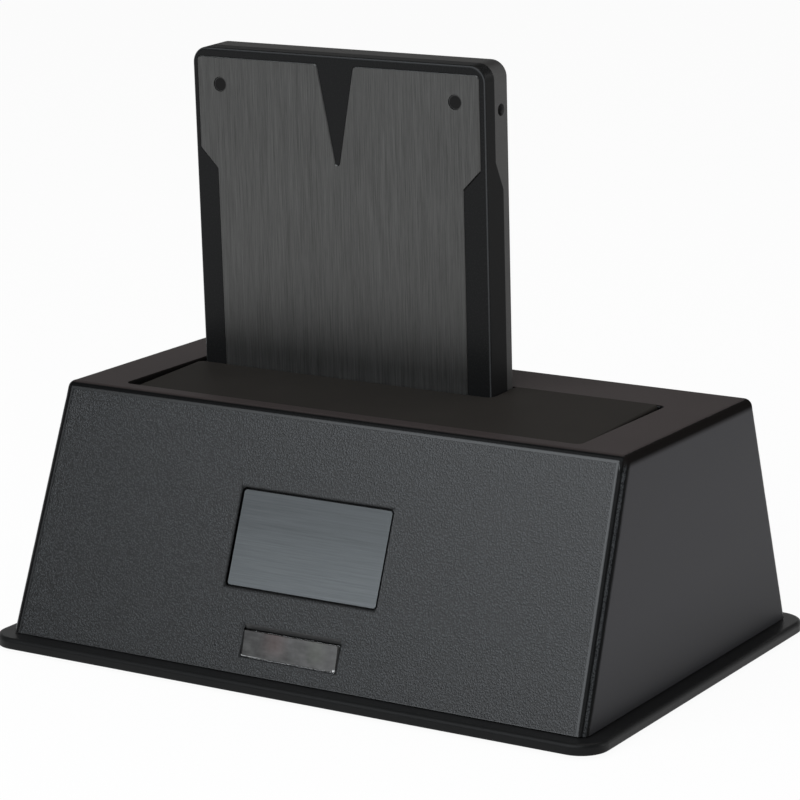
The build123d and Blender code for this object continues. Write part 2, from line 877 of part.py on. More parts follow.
def spring_path(start_x, centre_y, centre_z, radius, first_angle, last_angle, leg):
    """Coil along +X as quarter-turn arcs, each tangent to the last, with a straight leg at each end."""
    turn = last_angle - first_angle
    steps = int(round(abs(turn) / 90))
    slope = spring_pitch / (2 * pi)

    def point(share):
        angle = radians(first_angle + turn * share)
        along = start_x + spring_pitch * abs(turn) * share / 360
        return Vector(along, centre_y + radius * cos(angle), centre_z + radius * sin(angle))

    way = 1 if turn > 0 else -1
    angle = radians(first_angle)
    heading = Vector(slope, -way * radius * sin(angle), way * radius * cos(angle)).normalized()
    with BuildLine() as path:
        Line(point(0) - heading * leg, point(0))
        for step in range(steps):
            arc = TangentArc(point(step / steps), point((step + 1) / steps), tangent=heading)
            heading = arc % 1
        Line(point(1), point(1) + heading * leg)
    return path.wires()[0]


def spring_solid(path):
    """Round wire along a spring's path, in the part being built."""
    with BuildSketch(Plane(origin=path @ 0, z_dir=path % 0)) as section:
        Circle(spring_wire / 2)
    sweep(section.sketch, path=path)


def least_gap(path, radius):
    """Least free space between turns of a coil, measured on points along its wire."""
    count = 60 * spring_turns
    points = [path @ (step / count) for step in range(count + 1)]
    skip = int(count * pi * radius / path.length) + 1
    nearest = min(
        (points[i] - points[j]).length for i in range(count + 1) for j in range(i + skip, count + 1)
    )
    return nearest - spring_wire


# Springs that close the lid: one leg under the lid, one on the frame's rib
with BuildPart() as lid_springs:
    for place in lid_spring_places:
        lid_coil = spring_path(
            place, lid_pin_y, lid_pin_z, lid_spring_radius, 180, 180 - 90 - 360 * spring_turns, spring_leg / 2
        )
        spring_solid(lid_coil)
lid_springs.part.label = "lid_springs"
export_step(lid_springs.part, "parts/lid_springs.step")
print("lid spring least gap", round(least_gap(lid_coil, lid_spring_radius), 3))

# Spring that closes the flap
with BuildPart() as flap_spring:
    flap_coil = spring_path(
        flap_spring_x - flap_spring_room / 2 + spring_pitch, flap_pin_y, flap_pin_z, flap_spring_radius,
        180, 180 - 360 * (spring_turns - 1) - 180, spring_leg / 3,
    )
    spring_solid(flap_coil)
flap_spring.part.label = "flap_spring"
export_step(flap_spring.part, "parts/flap_spring.step")
print("flap spring least gap", round(least_gap(flap_coil, flap_spring_radius), 3))

# Main board on the posts of the base plate
with BuildPart() as main_board:
    with BuildSketch(Plane.XY.offset(board_bottom)):
        with Locations((0, (board_front + board_back) / 2)):
            RectangleRounded(board_length, board_back - board_front, board_corner_radius)
        with Locations(*board_screw_places):
            Circle(board_hole_radius, mode=Mode.SUBTRACT)
    extrude(amount=board_thickness)
main_board.part.label = "main_board"
export_step(main_board.part, "parts/main_board.step")

# Screws of the main board
with BuildPart() as board_screws:
    screw_group(
        board_screw_places, board_top, board_head_radius, board_head_height,
        board_screw_radius, board_screw_length, False,
    )
board_screws.part.label = "board_screws"
export_step(board_screws.part, "parts/board_screws.step")

# Socket for the drive, leaning with it
socket_depth = drive_foot.Z - board_top + drive_thickness * tan(lean) + overrun
socket_span = (connector_left - socket_side, connector_left + connector_width + socket_side)
nose_span = (connector_left + nose_inset, connector_left + connector_width - nose_inset)
tongue_middle = drive_thickness - tongue_back
tongue_front_face = tongue_middle - tongue_thickness / 2
tongue_back_face = tongue_middle + tongue_thickness / 2
tongue_rows = (
    (power_tongue_left, power_tongue_width, power_contacts),
    (signal_tongue_left, signal_tongue_width, signal_contacts),
)
contact_places = [
    left + width / 2 + (index - (count - 1) / 2) * contact_pitch
    for left, width, count in tongue_rows
    for index in range(count)
]
with BuildPart() as drive_socket:
    drive_block(socket_span, (socket_front, socket_back), (-socket_depth, -socket_shoulder_gap))
    split(bisect_by=Plane.XY.offset(board_top), keep=Keep.TOP)
    drive_block(nose_span, (nose_front, nose_back), (-socket_shoulder_gap, nose_height))
    fillet(drive_socket.faces().sort_by(Axis.Z)[-1].edges(), nose_edge_radius)
    for left, width, count in tongue_rows:
        drive_block(
            (left - tongue_gap, left + width + tongue_gap),
            (tongue_front_face - tongue_gap, tongue_back_face + tongue_gap),
            (slot_bottom, nose_height + overrun),
            mode=Mode.SUBTRACT,
        )
        drive_block(
            (left - tongue_gap, left + tongue_thickness + tongue_gap),
            (tongue_middle, tongue_back_face + tongue_leg + tongue_gap),
            (slot_bottom, nose_height + overrun),
            mode=Mode.SUBTRACT,
        )
drive_socket.part.label = "drive_socket"
export_step(drive_socket.part, "parts/drive_socket.step")

# Contacts in the socket, one group
with BuildPart() as socket_contacts:
    for place in contact_places:
        drive_block(
            (place - contact_width / 2, place + contact_width / 2),
            (tongue_front_face - tongue_gap, tongue_front_face - tongue_gap + contact_thickness),
            (slot_bottom, nose_height - contact_inset),
        )
socket_contacts.part.label = "socket_contacts"
export_step(socket_contacts.part, "parts/socket_contacts.step")

# Bridge chip with its leads
with BuildPart() as bridge_chip:
    with BuildSketch(Plane.XY.offset(board_top + chip_stand)):
        with Locations((chip_x, chip_y)):
            Rectangle(chip_size, chip_size)
    extrude(amount=chip_height)
    chamfer(bridge_chip.edges().filter_by(Axis.Z), chip_corner)
    chamfer(bridge_chip.faces().sort_by(Axis.Z)[-1].edges(), chip_edge)
bridge_chip.part.label = "bridge_chip"
export_step(bridge_chip.part, "parts/bridge_chip.step")

with BuildPart() as chip_leads:
    for index in range(lead_count):
        along = (index - (lead_count - 1) / 2) * lead_pitch
        for side in (-1, 1):
            near = side * chip_size / 2
            far = side * (chip_size / 2 + lead_length)
            knee = side * (chip_size / 2 + lead_length / 2)
            shoulder = board_top + chip_stand + chip_height / 2
            x_side = (chip_x + along - lead_width / 2, chip_x + along + lead_width / 2)
            y_side = (chip_y + along - lead_width / 2, chip_y + along + lead_width / 2)
            for low, high, base, top in (
                (near, knee, shoulder, shoulder + lead_thickness),
                (knee - side * lead_thickness, knee, board_top, shoulder + lead_thickness),
                (knee - side * lead_thickness, far, board_top, board_top + lead_thickness),
            ):
                block(x_side, sorted((chip_y + low, chip_y + high)), (base, top))
                block(sorted((chip_x + low, chip_x + high)), y_side, (base, top))
chip_leads.part.label = "chip_leads"
export_step(chip_leads.part, "parts/chip_leads.step")

# Memory chip of the board
with BuildPart() as board_memory:
    block(
        (memory_x - memory_length / 2, memory_x + memory_length / 2),
        (memory_y - memory_width / 2, memory_y + memory_width / 2),
        (board_top, board_top + memory_height),
    )
    chamfer(board_memory.faces().sort_by(Axis.Z)[-1].edges(), chip_edge)
board_memory.part.label = "board_memory"
export_step(board_memory.part, "parts/board_memory.step")

# Capacitors: square feet with round cans, one group
with BuildPart() as capacitors:
    for index in range(can_count):
        x = can_row_x + (index - (can_count - 1) / 2) * can_pitch
        block(
            (x - can_radius, x + can_radius),
            (can_row_y - can_radius, can_row_y + can_radius),
            (board_top, board_top + can_base_height),
        )
        rod((x, can_row_y, board_top), "Z", can_radius - can_edge_radius / 2, can_height)
    fillet(capacitors.edges().group_by(Axis.Z)[-1], can_edge_radius)
capacitors.part.label = "capacitors"
export_step(capacitors.part, "parts/capacitors.step")

# Power coils, one group
with BuildPart() as power_coils:
    for side in (-1, 1):
        with BuildSketch(Plane.XY.offset(board_top)):
            with Locations((coil_x + side * coil_pitch / 2, coil_y)):
                RectangleRounded(coil_size, coil_size, coil_corner)
        extrude(amount=coil_height)
    fillet(power_coils.edges().group_by(Axis.Z)[-1], can_edge_radius)
power_coils.part.label = "power_coils"
export_step(power_coils.part, "parts/power_coils.step")

# Crystal can
with BuildPart() as crystal:
    with BuildSketch(Plane.XY.offset(board_top)):
        with Locations((crystal_x, crystal_y)):
            SlotOverall(crystal_length, crystal_width)
    extrude(amount=crystal_height)
    fillet(crystal.faces().sort_by(Axis.Z)[-1].edges(), can_edge_radius)
crystal.part.label = "crystal"
export_step(crystal.part, "parts/crystal.step")

# Indicator lights lying over the front edge of the board, in a holder
led_z = board_top + led_rise
led_back = led_tip_y + led_length
led_places = (-led_spacing / 2, led_spacing / 2)
with BuildPart() as status_lights:
    for x in led_places:
        rod((x, led_tip_y, led_z), "Y", led_radius, led_length)
    fillet(status_lights.edges().group_by(Axis.Y)[0], led_tip_radius)
    for x in led_places:
        for side in (-led_leg_spacing / 2, led_leg_spacing / 2):
            leg = (x + side - led_leg / 2, x + side + led_leg / 2)
            leg_back = board_front + led_holder_depth + led_leg
            block(leg, (led_back - led_leg, leg_back), (led_z - led_leg / 2, led_z + led_leg / 2))
            block(leg, (leg_back - led_leg, leg_back), (board_top, led_z + led_leg / 2))
status_lights.part.label = "status_lights"
export_step(status_lights.part, "parts/status_lights.step")

with BuildPart() as light_holder:
    holder_half = led_spacing / 2 + led_radius + led_holder_gap + led_holder_wall
    block(
        (-holder_half, holder_half), (board_front, board_front + led_holder_depth),
        (board_top, board_top + led_holder_height),
    )
    for x in led_places:
        for side in (-led_leg_spacing / 2, led_leg_spacing / 2):
            block(
                (x + side - led_leg, x + side + led_leg),
                (led_back - led_leg, board_front + 2 * led_holder_depth),
                (led_z - led_leg, led_z + led_leg),
                mode=Mode.SUBTRACT,
            )
        bore = led_back - board_front + led_holder_gap + overrun
        rod((x, board_front - overrun, led_z), "Y", led_radius + led_holder_gap, bore, Mode.SUBTRACT)
light_holder.part.label = "light_holder"
export_step(light_holder.part, "parts/light_holder.step")

# Clear guide that brings the indicator lights to the window
with BuildPart() as light_guide:
    inner_face = front_plane.offset(-wall * cos(front_angle))
    guide_low = inner_face.from_local_coords((0, window_rise - window_height / 2 - guide_lap, 0))
    guide_high = inner_face.from_local_coords((0, window_rise + window_height / 2 + guide_lap, 0))
    guide_back = led_tip_y - guide_gap
    with BuildSketch(Plane.YZ.offset(-window_length / 2 - guide_lap)):
        Polygon(
            (guide_low.Y, guide_low.Z),
            (guide_back, led_z - led_radius),
            (guide_back, led_z + led_radius),
            (guide_high.Y, guide_high.Z),
            align=None,
        )
    extrude(amount=window_length + 2 * guide_lap)
light_guide.part.label = "light_guide"
export_step(light_guide.part, "parts/light_guide.step")

# Rear panel, held between the cheeks of the bay by the flange on its inner side
panel_inner = bay_face - panel_thickness - flange_thickness
socket_face = bay_face + socket_proud
button_z = board_top + button_rise
with BuildPart() as rear_panel:
    panel_half = bay_length / 2 - panel_gap
    block((-panel_half, panel_half), (bay_face - panel_thickness, bay_face), (rim_top, bay_top - panel_gap))
    flange_half = bay_length / 2 + flange_lap
    flange_top = bay_top + flange_lap
    block((-flange_half, flange_half), (panel_inner, bay_face - panel_thickness), (rim_top, flange_top))
    for x, width, height in (
        (usb_x, usb_width, usb_height),
        (esata_x, esata_width, esata_height),
        (jack_x, jack_width, jack_height),
    ):
        block(
            (x - width / 2 - socket_gap, x + width / 2 + socket_gap),
            (panel_inner - overrun, bay_face + overrun),
            (board_top - socket_gap, board_top + height + socket_gap),
            mode=Mode.SUBTRACT,
        )
    through = panel_thickness + flange_thickness + 2 * overrun
    button_hole = (button_x, panel_inner - overrun, button_z)
    rod(button_hole, "Y", button_radius + button_hole_gap, through, Mode.SUBTRACT)
rear_panel.part.label = "rear_panel"
export_step(rear_panel.part, "parts/rear_panel.step")


def socket_box(x, width, height, length, edge, mode=Mode.ADD, front=0, back=0):
    """Box of a socket on the board, drawn in by an edge all round."""
    block(
        (x - width / 2 + edge, x + width / 2 - edge),
        (socket_face - length + back, socket_face - front),
        (board_top + edge, board_top + height - edge),
        mode=mode,
    )


# Square USB socket: metal shell and insert
with BuildPart() as usb_shell:
    usb_size = (usb_x, usb_width, usb_height, usb_length)
    socket_box(*usb_size, 0)
    socket_box(*usb_size, usb_wall, Mode.SUBTRACT, -overrun, usb_wall)
usb_shell.part.label = "usb_shell"
export_step(usb_shell.part, "parts/usb_shell.step")

with BuildPart() as usb_insert:
    socket_box(*usb_size, usb_wall, Mode.ADD, insert_set_back, usb_wall)
    opening_low = board_top + usb_wall + usb_opening_rise
    mouth = Plane(origin=(usb_x, socket_face, opening_low), x_dir=(1, 0, 0), z_dir=(0, -1, 0))
    half, knee, nub = usb_opening_width / 2, usb_opening_chamfer, usb_nub_width / 2
    high = usb_opening_height
    with BuildSketch(mouth):
        Polygon(
            (-half, 0), (half, 0), (half, high - knee), (half - knee, high), (nub, high),
            (nub, high + usb_nub_height), (-nub, high + usb_nub_height), (-nub, high),
            (knee - half, high), (-half, high - knee),
            align=None,
        )
    extrude(amount=-usb_opening_depth, mode=Mode.SUBTRACT)
    block(
        (usb_x - usb_tongue_width / 2, usb_x + usb_tongue_width / 2),
        (socket_face - usb_opening_depth - overrun, socket_face - tongue_set_back),
        (opening_low + usb_tongue_rise, opening_low + usb_tongue_rise + usb_tongue_height),
    )
usb_insert.part.label = "usb_insert"
export_step(usb_insert.part, "parts/usb_insert.step")

# Flat external drive socket: metal shell and insert
with BuildPart() as esata_shell:
    esata_size = (esata_x, esata_width, esata_height, esata_length)
    socket_box(*esata_size, 0)
    socket_box(*esata_size, esata_wall, Mode.SUBTRACT, -overrun, esata_wall)
esata_shell.part.label = "esata_shell"
export_step(esata_shell.part, "parts/esata_shell.step")

with BuildPart() as esata_insert:
    socket_box(*esata_size, esata_wall, Mode.ADD, insert_set_back, esata_wall)
    slot_middle = board_top + esata_height / 2
    block(
        (esata_x - esata_slot_width / 2, esata_x + esata_slot_width / 2),
        (socket_face - esata_slot_depth, socket_face + overrun),
        (slot_middle - esata_slot_height / 2, slot_middle + esata_slot_height / 2),
        mode=Mode.SUBTRACT,
    )
    block(
        (esata_x - esata_tongue_width / 2, esata_x + esata_tongue_width / 2),
        (socket_face - esata_slot_depth - overrun, socket_face - tongue_set_back),
        (slot_middle - esata_tongue_height / 2, slot_middle + esata_tongue_height / 2),
    )
esata_insert.part.label = "esata_insert"
export_step(esata_insert.part, "parts/esata_insert.step")

# Power socket with its pin
jack_z = board_top + jack_rise
with BuildPart() as power_jack:
    socket_box(jack_x, jack_width, jack_height, jack_length, 0)
    jack_bottom = (jack_x, socket_face - jack_bore_depth, jack_z)
    rod(jack_bottom, "Y", jack_bore_radius, jack_bore_depth + overrun, Mode.SUBTRACT)
power_jack.part.label = "power_jack"
export_step(power_jack.part, "parts/power_jack.step")

with BuildPart() as jack_pin:
    rod(jack_bottom, "Y", jack_pin_radius, jack_pin_length)
    fillet(jack_pin.edges().group_by(Axis.Y)[-1], jack_pin_radius / 2)
jack_pin.part.label = "jack_pin"
export_step(jack_pin.part, "parts/jack_pin.step")

# Power button, its plunger and the switch that it works
flange_face = panel_inner - button_flange_gap
flange_inner = flange_face - button_flange_thickness
with BuildPart() as power_button:
    rod((button_x, flange_inner, button_z), "Y", button_flange_radius, button_flange_thickness)
    rod((button_x, flange_inner, button_z), "Y", button_radius, bay_face + button_proud - flange_inner)
    fillet(power_button.edges().group_by(Axis.Y)[-1], button_edge_radius)
power_button.part.label = "power_button"
export_step(power_button.part, "parts/power_button.step")

with BuildPart() as switch_plunger:
    rod((button_x, flange_inner - plunger_length, button_z), "Y", plunger_radius, plunger_length)
switch_plunger.part.label = "switch_plunger"
export_step(switch_plunger.part, "parts/switch_plunger.step")

with BuildPart() as power_switch:
    switch_face = flange_inner - switch_room
    block(
        (button_x - switch_width / 2, button_x + switch_width / 2),
        (switch_face - switch_length, switch_face),
        (board_top, board_top + switch_height),
    )
    bore_bottom = flange_inner - plunger_length - button_travel - plunger_gap
    bore = switch_face - bore_bottom + overrun
    rod((button_x, bore_bottom, button_z), "Y", plunger_radius + plunger_gap, bore, Mode.SUBTRACT)
power_switch.part.label = "power_switch"
export_step(power_switch.part, "parts/power_switch.step")

# 2.5-inch drive: the outer form that its front shell and its case share
shell_depth = drive_thickness - face_proud
with BuildPart() as drive_form:
    with BuildSketch(drive_plane(face_proud)) as drive_outline:
        with Locations((drive_width / 2, drive_length / 2)):
            RectangleRounded(drive_width, drive_length, drive_corner_radius)
    extrude(amount=-shell_depth)
    fillet(drive_form.faces().sort_by(Axis.Y)[0].edges(), drive_edge_radius)
    fillet(drive_form.faces().sort_by(Axis.Y)[-1].edges(), drive_edge_radius)
    drive_block(
        (drive_side_wall, drive_width - drive_side_wall),
        (face_proud + drive_face_wall, drive_thickness - drive_back_wall),
        (drive_side_wall, drive_length - drive_side_wall),
        mode=Mode.SUBTRACT,
    )
    drive_block(
        (connector_left, connector_left + connector_width),
        (connector_mouth_front, connector_mouth_back),
        (-overrun, 2 * drive_side_wall),
        mode=Mode.SUBTRACT,
    )

band_step_low = drive_length - band_step_top
with BuildPart() as band_form:
    with BuildSketch(drive_side_plane(-overrun)):
        Polygon(
            (-overrun, -overrun),
            (band_top, -overrun),
            (band_top, band_step_top),
            (band_low, band_step_top + band_step_run),
            (band_low, band_step_low - band_step_run),
            (band_top, band_step_low),
            (band_top, drive_length + overrun),
            (-overrun, drive_length + overrun),
            align=None,
        )
    extrude(amount=drive_width + 2 * overrun)


def face_outline(behind, grow=0):
    """Outline of the drive's face plate: a V notch at the top and a step in at each side."""
    middle = drive_width / 2
    edge = middle - face_side_inset
    step = edge - face_step
    high = drive_length - face_top_inset
    knee = drive_length - face_step_top
    with BuildSketch(drive_plane(behind)) as outline:
        with Locations((middle, 0)):
            Polygon(
                (-notch_half_width, high), (-edge, high), (-edge, knee), (-step, knee - face_step_run),
                (-step, face_foot_inset), (step, face_foot_inset), (step, knee - face_step_run), (edge, knee),
                (edge, high), (notch_half_width, high), (0, high - notch_depth),
                align=None,
            )
        tip = (middle, high - notch_depth)
        fillet(outline.vertices().sort_by_distance(tip)[1:], face_corner_radius)
        fillet(outline.vertices().sort_by_distance(tip)[0], notch_tip_radius)
        if grow > 0:
            offset(amount=grow)
    return outline.sketch


stud_places = [(x, drive_length - stud_drop) for x in (stud_inset, drive_width - stud_inset)]
lid_screw_places = [
    (x, y)
    for x in (case_screw_inset, drive_width - case_screw_inset)
    for y in (case_screw_rise, drive_length - case_screw_rise)
]
head_seat = drive_thickness - case_screw_head_height

# Front shell of the drive with posts for the case screws
with BuildPart() as drive_front_shell:
    add(drive_form.part & band_form.part)
    extrude(face_outline(face_proud, face_gap), amount=-(face_thickness - face_proud), mode=Mode.SUBTRACT)
    for across, above in stud_places:
        bore = (0, drive_face_wall + 2 * overrun)
        drive_rod(across, above, bore, stud_shank_radius + pin_seat_gap, Mode.SUBTRACT)
    for across, above in lid_screw_places:
        post = (drive_face_wall, drive_thickness - drive_back_wall)
        drive_rod(across, above, post, case_post_radius)
        bore = (head_seat - case_screw_shank_length, drive_thickness)
        drive_rod(across, above, bore, case_screw_shank + pin_seat_gap, Mode.SUBTRACT)
drive_front_shell.part.label = "drive_front_shell"
export_step(drive_front_shell.part, "parts/drive_front_shell.step")

# Metal case of the drive, with the blocks that the side holes are cut in
with BuildPart() as drive_case:
    add(drive_form.part - band_form.part)
    for above in (side_hole_low, side_hole_high):
        for side in (0, 1):
            inward = 1 - 2 * side
            outer_side = side * drive_width
            across = sorted((outer_side + inward * drive_side_wall / 2, outer_side + inward * side_boss))
            drive_block(
                across, (band_top, drive_thickness - drive_back_wall / 2),
                (above - side_boss_height / 2, above + side_boss_height / 2),
            )
            with BuildSketch(drive_side_plane(outer_side)) as hole:
                with Locations((drive_thickness - side_hole_back, above)):
                    Circle(side_hole_radius)
            extrude(hole.sketch, amount=inward * side_hole_length, mode=Mode.SUBTRACT)
    for across, above in lid_screw_places:
        bore = (band_top, drive_thickness + overrun)
        drive_rod(across, above, bore, case_screw_shank + pin_seat_gap, Mode.SUBTRACT)
        sink = (head_seat, drive_thickness + overrun)
        drive_rod(across, above, sink, case_screw_head + pin_seat_gap, Mode.SUBTRACT)
drive_case.part.label = "drive_case"
export_step(drive_case.part, "parts/drive_case.step")

# Face plate of the drive
with BuildPart() as drive_face_plate:
    extrude(face_outline(0), amount=-face_thickness)
    chamfer(drive_face_plate.faces().sort_by(Axis.Y)[0].edges(), face_bevel)
    for across, above in stud_places:
        drive_rod(across, above, (-overrun, face_thickness + overrun), stud_radius + stud_gap, Mode.SUBTRACT)
drive_face_plate.part.label = "drive_face_plate"
export_step(drive_face_plate.part, "parts/drive_face_plate.step")

# Studs in the face plate, one group
with BuildPart() as drive_studs:
    for across, above in stud_places:
        drive_rod(across, above, (stud_sink, face_thickness), stud_radius)
        drive_rod(across, above, (face_thickness, face_thickness + stud_shank_length), stud_shank_radius)
drive_studs.part.label = "drive_studs"
export_step(drive_studs.part, "parts/drive_studs.step")

# Circuit board of the drive
pcb_back = pcb_front + pcb_thickness
with BuildPart() as drive_board:
    with BuildSketch(drive_plane(pcb_front)):
        with Locations((drive_width / 2, (drive_length - pcb_inset + housing_low) / 2)):
            RectangleRounded(
                drive_width - 2 * pcb_inset, drive_length - pcb_inset - housing_low, pcb_corner_radius
            )
        with Locations(*lid_screw_places):
            Circle(case_post_radius + stud_gap * 2, mode=Mode.SUBTRACT)
    extrude(amount=-pcb_thickness)
drive_board.part.label = "drive_board"
export_step(drive_board.part, "parts/drive_board.step")

# Plug of the drive: housing with two tongues
with BuildPart() as drive_plug:
    drive_block(
        (connector_left + housing_inset, connector_left + connector_width - housing_inset),
        (pcb_back, housing_back),
        (housing_low, housing_high),
    )
    for left, width, count in tongue_rows:
        drive_block((left, left + width), (tongue_front_face, tongue_back_face), (tongue_low, housing_low))
        drive_block(
            (left, left + tongue_thickness),
            (tongue_middle, tongue_back_face + tongue_leg),
            (tongue_low, housing_low),
        )
drive_plug.part.label = "drive_plug"
export_step(drive_plug.part, "parts/drive_plug.step")

# Contacts on the tongues, one group
with BuildPart() as drive_contacts:
    for place in contact_places:
        drive_block(
            (place - contact_width / 2, place + contact_width / 2),
            (tongue_front_face - contact_thickness, tongue_front_face),
            (tongue_low + contact_inset, housing_low),
        )
drive_contacts.part.label = "drive_contacts"
export_step(drive_contacts.part, "parts/drive_contacts.step")

# Memory chips and controller of the drive, one group
with BuildPart() as drive_chips:
    for column in (-1, 1):
        for row in (-1, 1):
            across = drive_width / 2 + column * memory_chip_pitch_x / 2
            above = memory_chip_rise + row * memory_chip_pitch_y / 2
            drive_block(
                (across - memory_chip_length / 2, across + memory_chip_length / 2),
                (pcb_back, pcb_back + memory_chip_height),
                (above - memory_chip_width / 2, above + memory_chip_width / 2),
            )
    drive_block(
        ((drive_width - controller_size) / 2, (drive_width + controller_size) / 2),
        (pcb_back, pcb_back + memory_chip_height),
        (controller_rise - controller_size / 2, controller_rise + controller_size / 2),
    )
drive_chips.part.label = "drive_chips"
export_step(drive_chips.part, "parts/drive_chips.step")

# Screws that close the drive from behind, one group
with BuildPart() as drive_screws:
    for across, above in lid_screw_places:
        drive_rod(across, above, (head_seat, drive_thickness), case_screw_head)
        drive_rod(across, above, (head_seat - case_screw_shank_length, head_seat), case_screw_shank)
        drive_block(
            (across - case_screw_head / 2, across + case_screw_head / 2),
            (drive_thickness - case_screw_head_height / 2, drive_thickness + overrun),
            (above - case_screw_shank / 3, above + case_screw_shank / 3),
            mode=Mode.SUBTRACT,
        )
drive_screws.part.label = "drive_screws"
export_step(drive_screws.part, "parts/drive_screws.step")
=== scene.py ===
from math import cos, hypot, radians, sin

import bpy
from mathutils import Matrix, Vector


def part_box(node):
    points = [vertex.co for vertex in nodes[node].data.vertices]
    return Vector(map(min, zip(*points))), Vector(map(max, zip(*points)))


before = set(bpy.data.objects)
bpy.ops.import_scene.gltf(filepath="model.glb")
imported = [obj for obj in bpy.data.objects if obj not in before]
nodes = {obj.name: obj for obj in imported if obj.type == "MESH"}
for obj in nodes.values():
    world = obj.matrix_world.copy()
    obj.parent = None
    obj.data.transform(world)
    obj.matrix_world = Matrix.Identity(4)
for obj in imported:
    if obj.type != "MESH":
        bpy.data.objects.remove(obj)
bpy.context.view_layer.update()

# Camera, in metres: where it stands, seen from the middle of the base, and how it is aimed
camera_azimuth = radians(31.23)
camera_elevation = radians(13.225)
camera_roll = radians(-0.383)
camera_distance = 0.677662
camera_near_limit = 0.01
aim_right = -0.000208
aim_up = 0.04884
aim_lift = 0.0008
focal_pixels = 3267.056
picture_pixels = 800
sensor_width = 36.0

# The materials work in millimetres: this many to Blender's metre
MM = 1000.0

# Body of the shell over the seam, and how far its front and sides slope in over its height
body_length = 133.8
body_depth = 89.2
body_height = 49.75
seam_height = 3.1
front_run = 19.25
side_run = 1.55
front_slope = hypot(front_run, body_height)
lean_in = front_run / front_slope
lean_up = body_height / front_slope

# Pebbled field of the front: its inset from the sides, and the smooth borders at its foot and top
field_inset = 2.15
field_foot = 0.35
field_head = 1.55
field_depth = 1.6

# Window in the front: its length, its middle and height up the slope, and the gap round it
window_length = 22.0
window_rise = 6.4
window_height = 5.1
window_gap = 0.2

# The docked drive leans towards the front
drive_lean = radians(2.3)


class Value:
    """A number that changes over a surface, written as ordinary sums."""

    def __init__(self, graph, socket):
        self.graph = graph
        self.socket = socket

    def math(self, operation, *others):
        inputs = dict(enumerate([self, *others]))
        node = self.graph.make("ShaderNodeMath", {"operation": operation}, inputs)
        return Value(self.graph, node.outputs[0])

    def __add__(self, other):
        return self.math("ADD", other)

    __radd__ = __add__

    def __mul__(self, other):
        return self.math("MULTIPLY", other)

    __rmul__ = __mul__

    def __sub__(self, other):
        return self.math("SUBTRACT", other)

    def __rsub__(self, other):
        return self.math("MULTIPLY", -1.0).math("ADD", other)

    def __gt__(self, other):
        return self.math("GREATER_THAN", other)

    def __lt__(self, other):
        return self.math("LESS_THAN", other)

    def __pow__(self, other):
        return self.math("POWER", other)

    def __abs__(self):
        return self.math("ABSOLUTE")

    def sine(self):
        return self.math("SINE")

    def least(self, other):
        """The lesser of the two."""
        return self.math("MINIMUM", other)

    def most(self, other):
        """The greater of the two."""
        return self.math("MAXIMUM", other)

    def rise(self, low, high):
        """0 below low, 1 above high, and smooth between."""
        inputs = {"Value": self, "From Min": low, "From Max": high}
        node = self.graph.make("ShaderNodeMapRange", {"interpolation_type": "SMOOTHSTEP"}, inputs)
        return Value(self.graph, node.outputs[0])

    def fall(self, low, high):
        """1 below low, 0 above high, and smooth between."""
        return 1.0 - self.rise(low, high)


class Graph:
    """The nodes of one material or world, and the tools that add to them."""

    def __init__(self, owner):
        owner.use_nodes = True
        self.tree = owner.node_tree

    def plug(self, socket, item):
        """Link a socket to what changes, or set it to a fixed number, colour or vector."""
        if isinstance(item, Value):
            self.tree.links.new(item.socket, socket)
        elif isinstance(item, bpy.types.NodeSocket):
            self.tree.links.new(item, socket)
        elif isinstance(item, tuple) and len(socket.default_value) == 4:
            socket.default_value = (*item, 1.0)
        else:
            socket.default_value = item

    def make(self, kind, settings=None, inputs=None):
        """Add a node with its settings and its inputs."""
        node = self.tree.nodes.new(kind)
        for name, value in (settings or {}).items():
            setattr(node, name, value)
        for name, value in (inputs or {}).items():
            self.plug(node.inputs[name], value)
        return node

    def split(self, vector):
        """The three parts of a vector."""
        parts = self.make("ShaderNodeSeparateXYZ", None, {0: vector})
        return [Value(self, output) for output in parts.outputs]

    def join(self, x, y, z):
        """A vector from its three parts."""
        return self.make("ShaderNodeCombineXYZ", None, {0: x, 1: y, 2: z}).outputs[0]


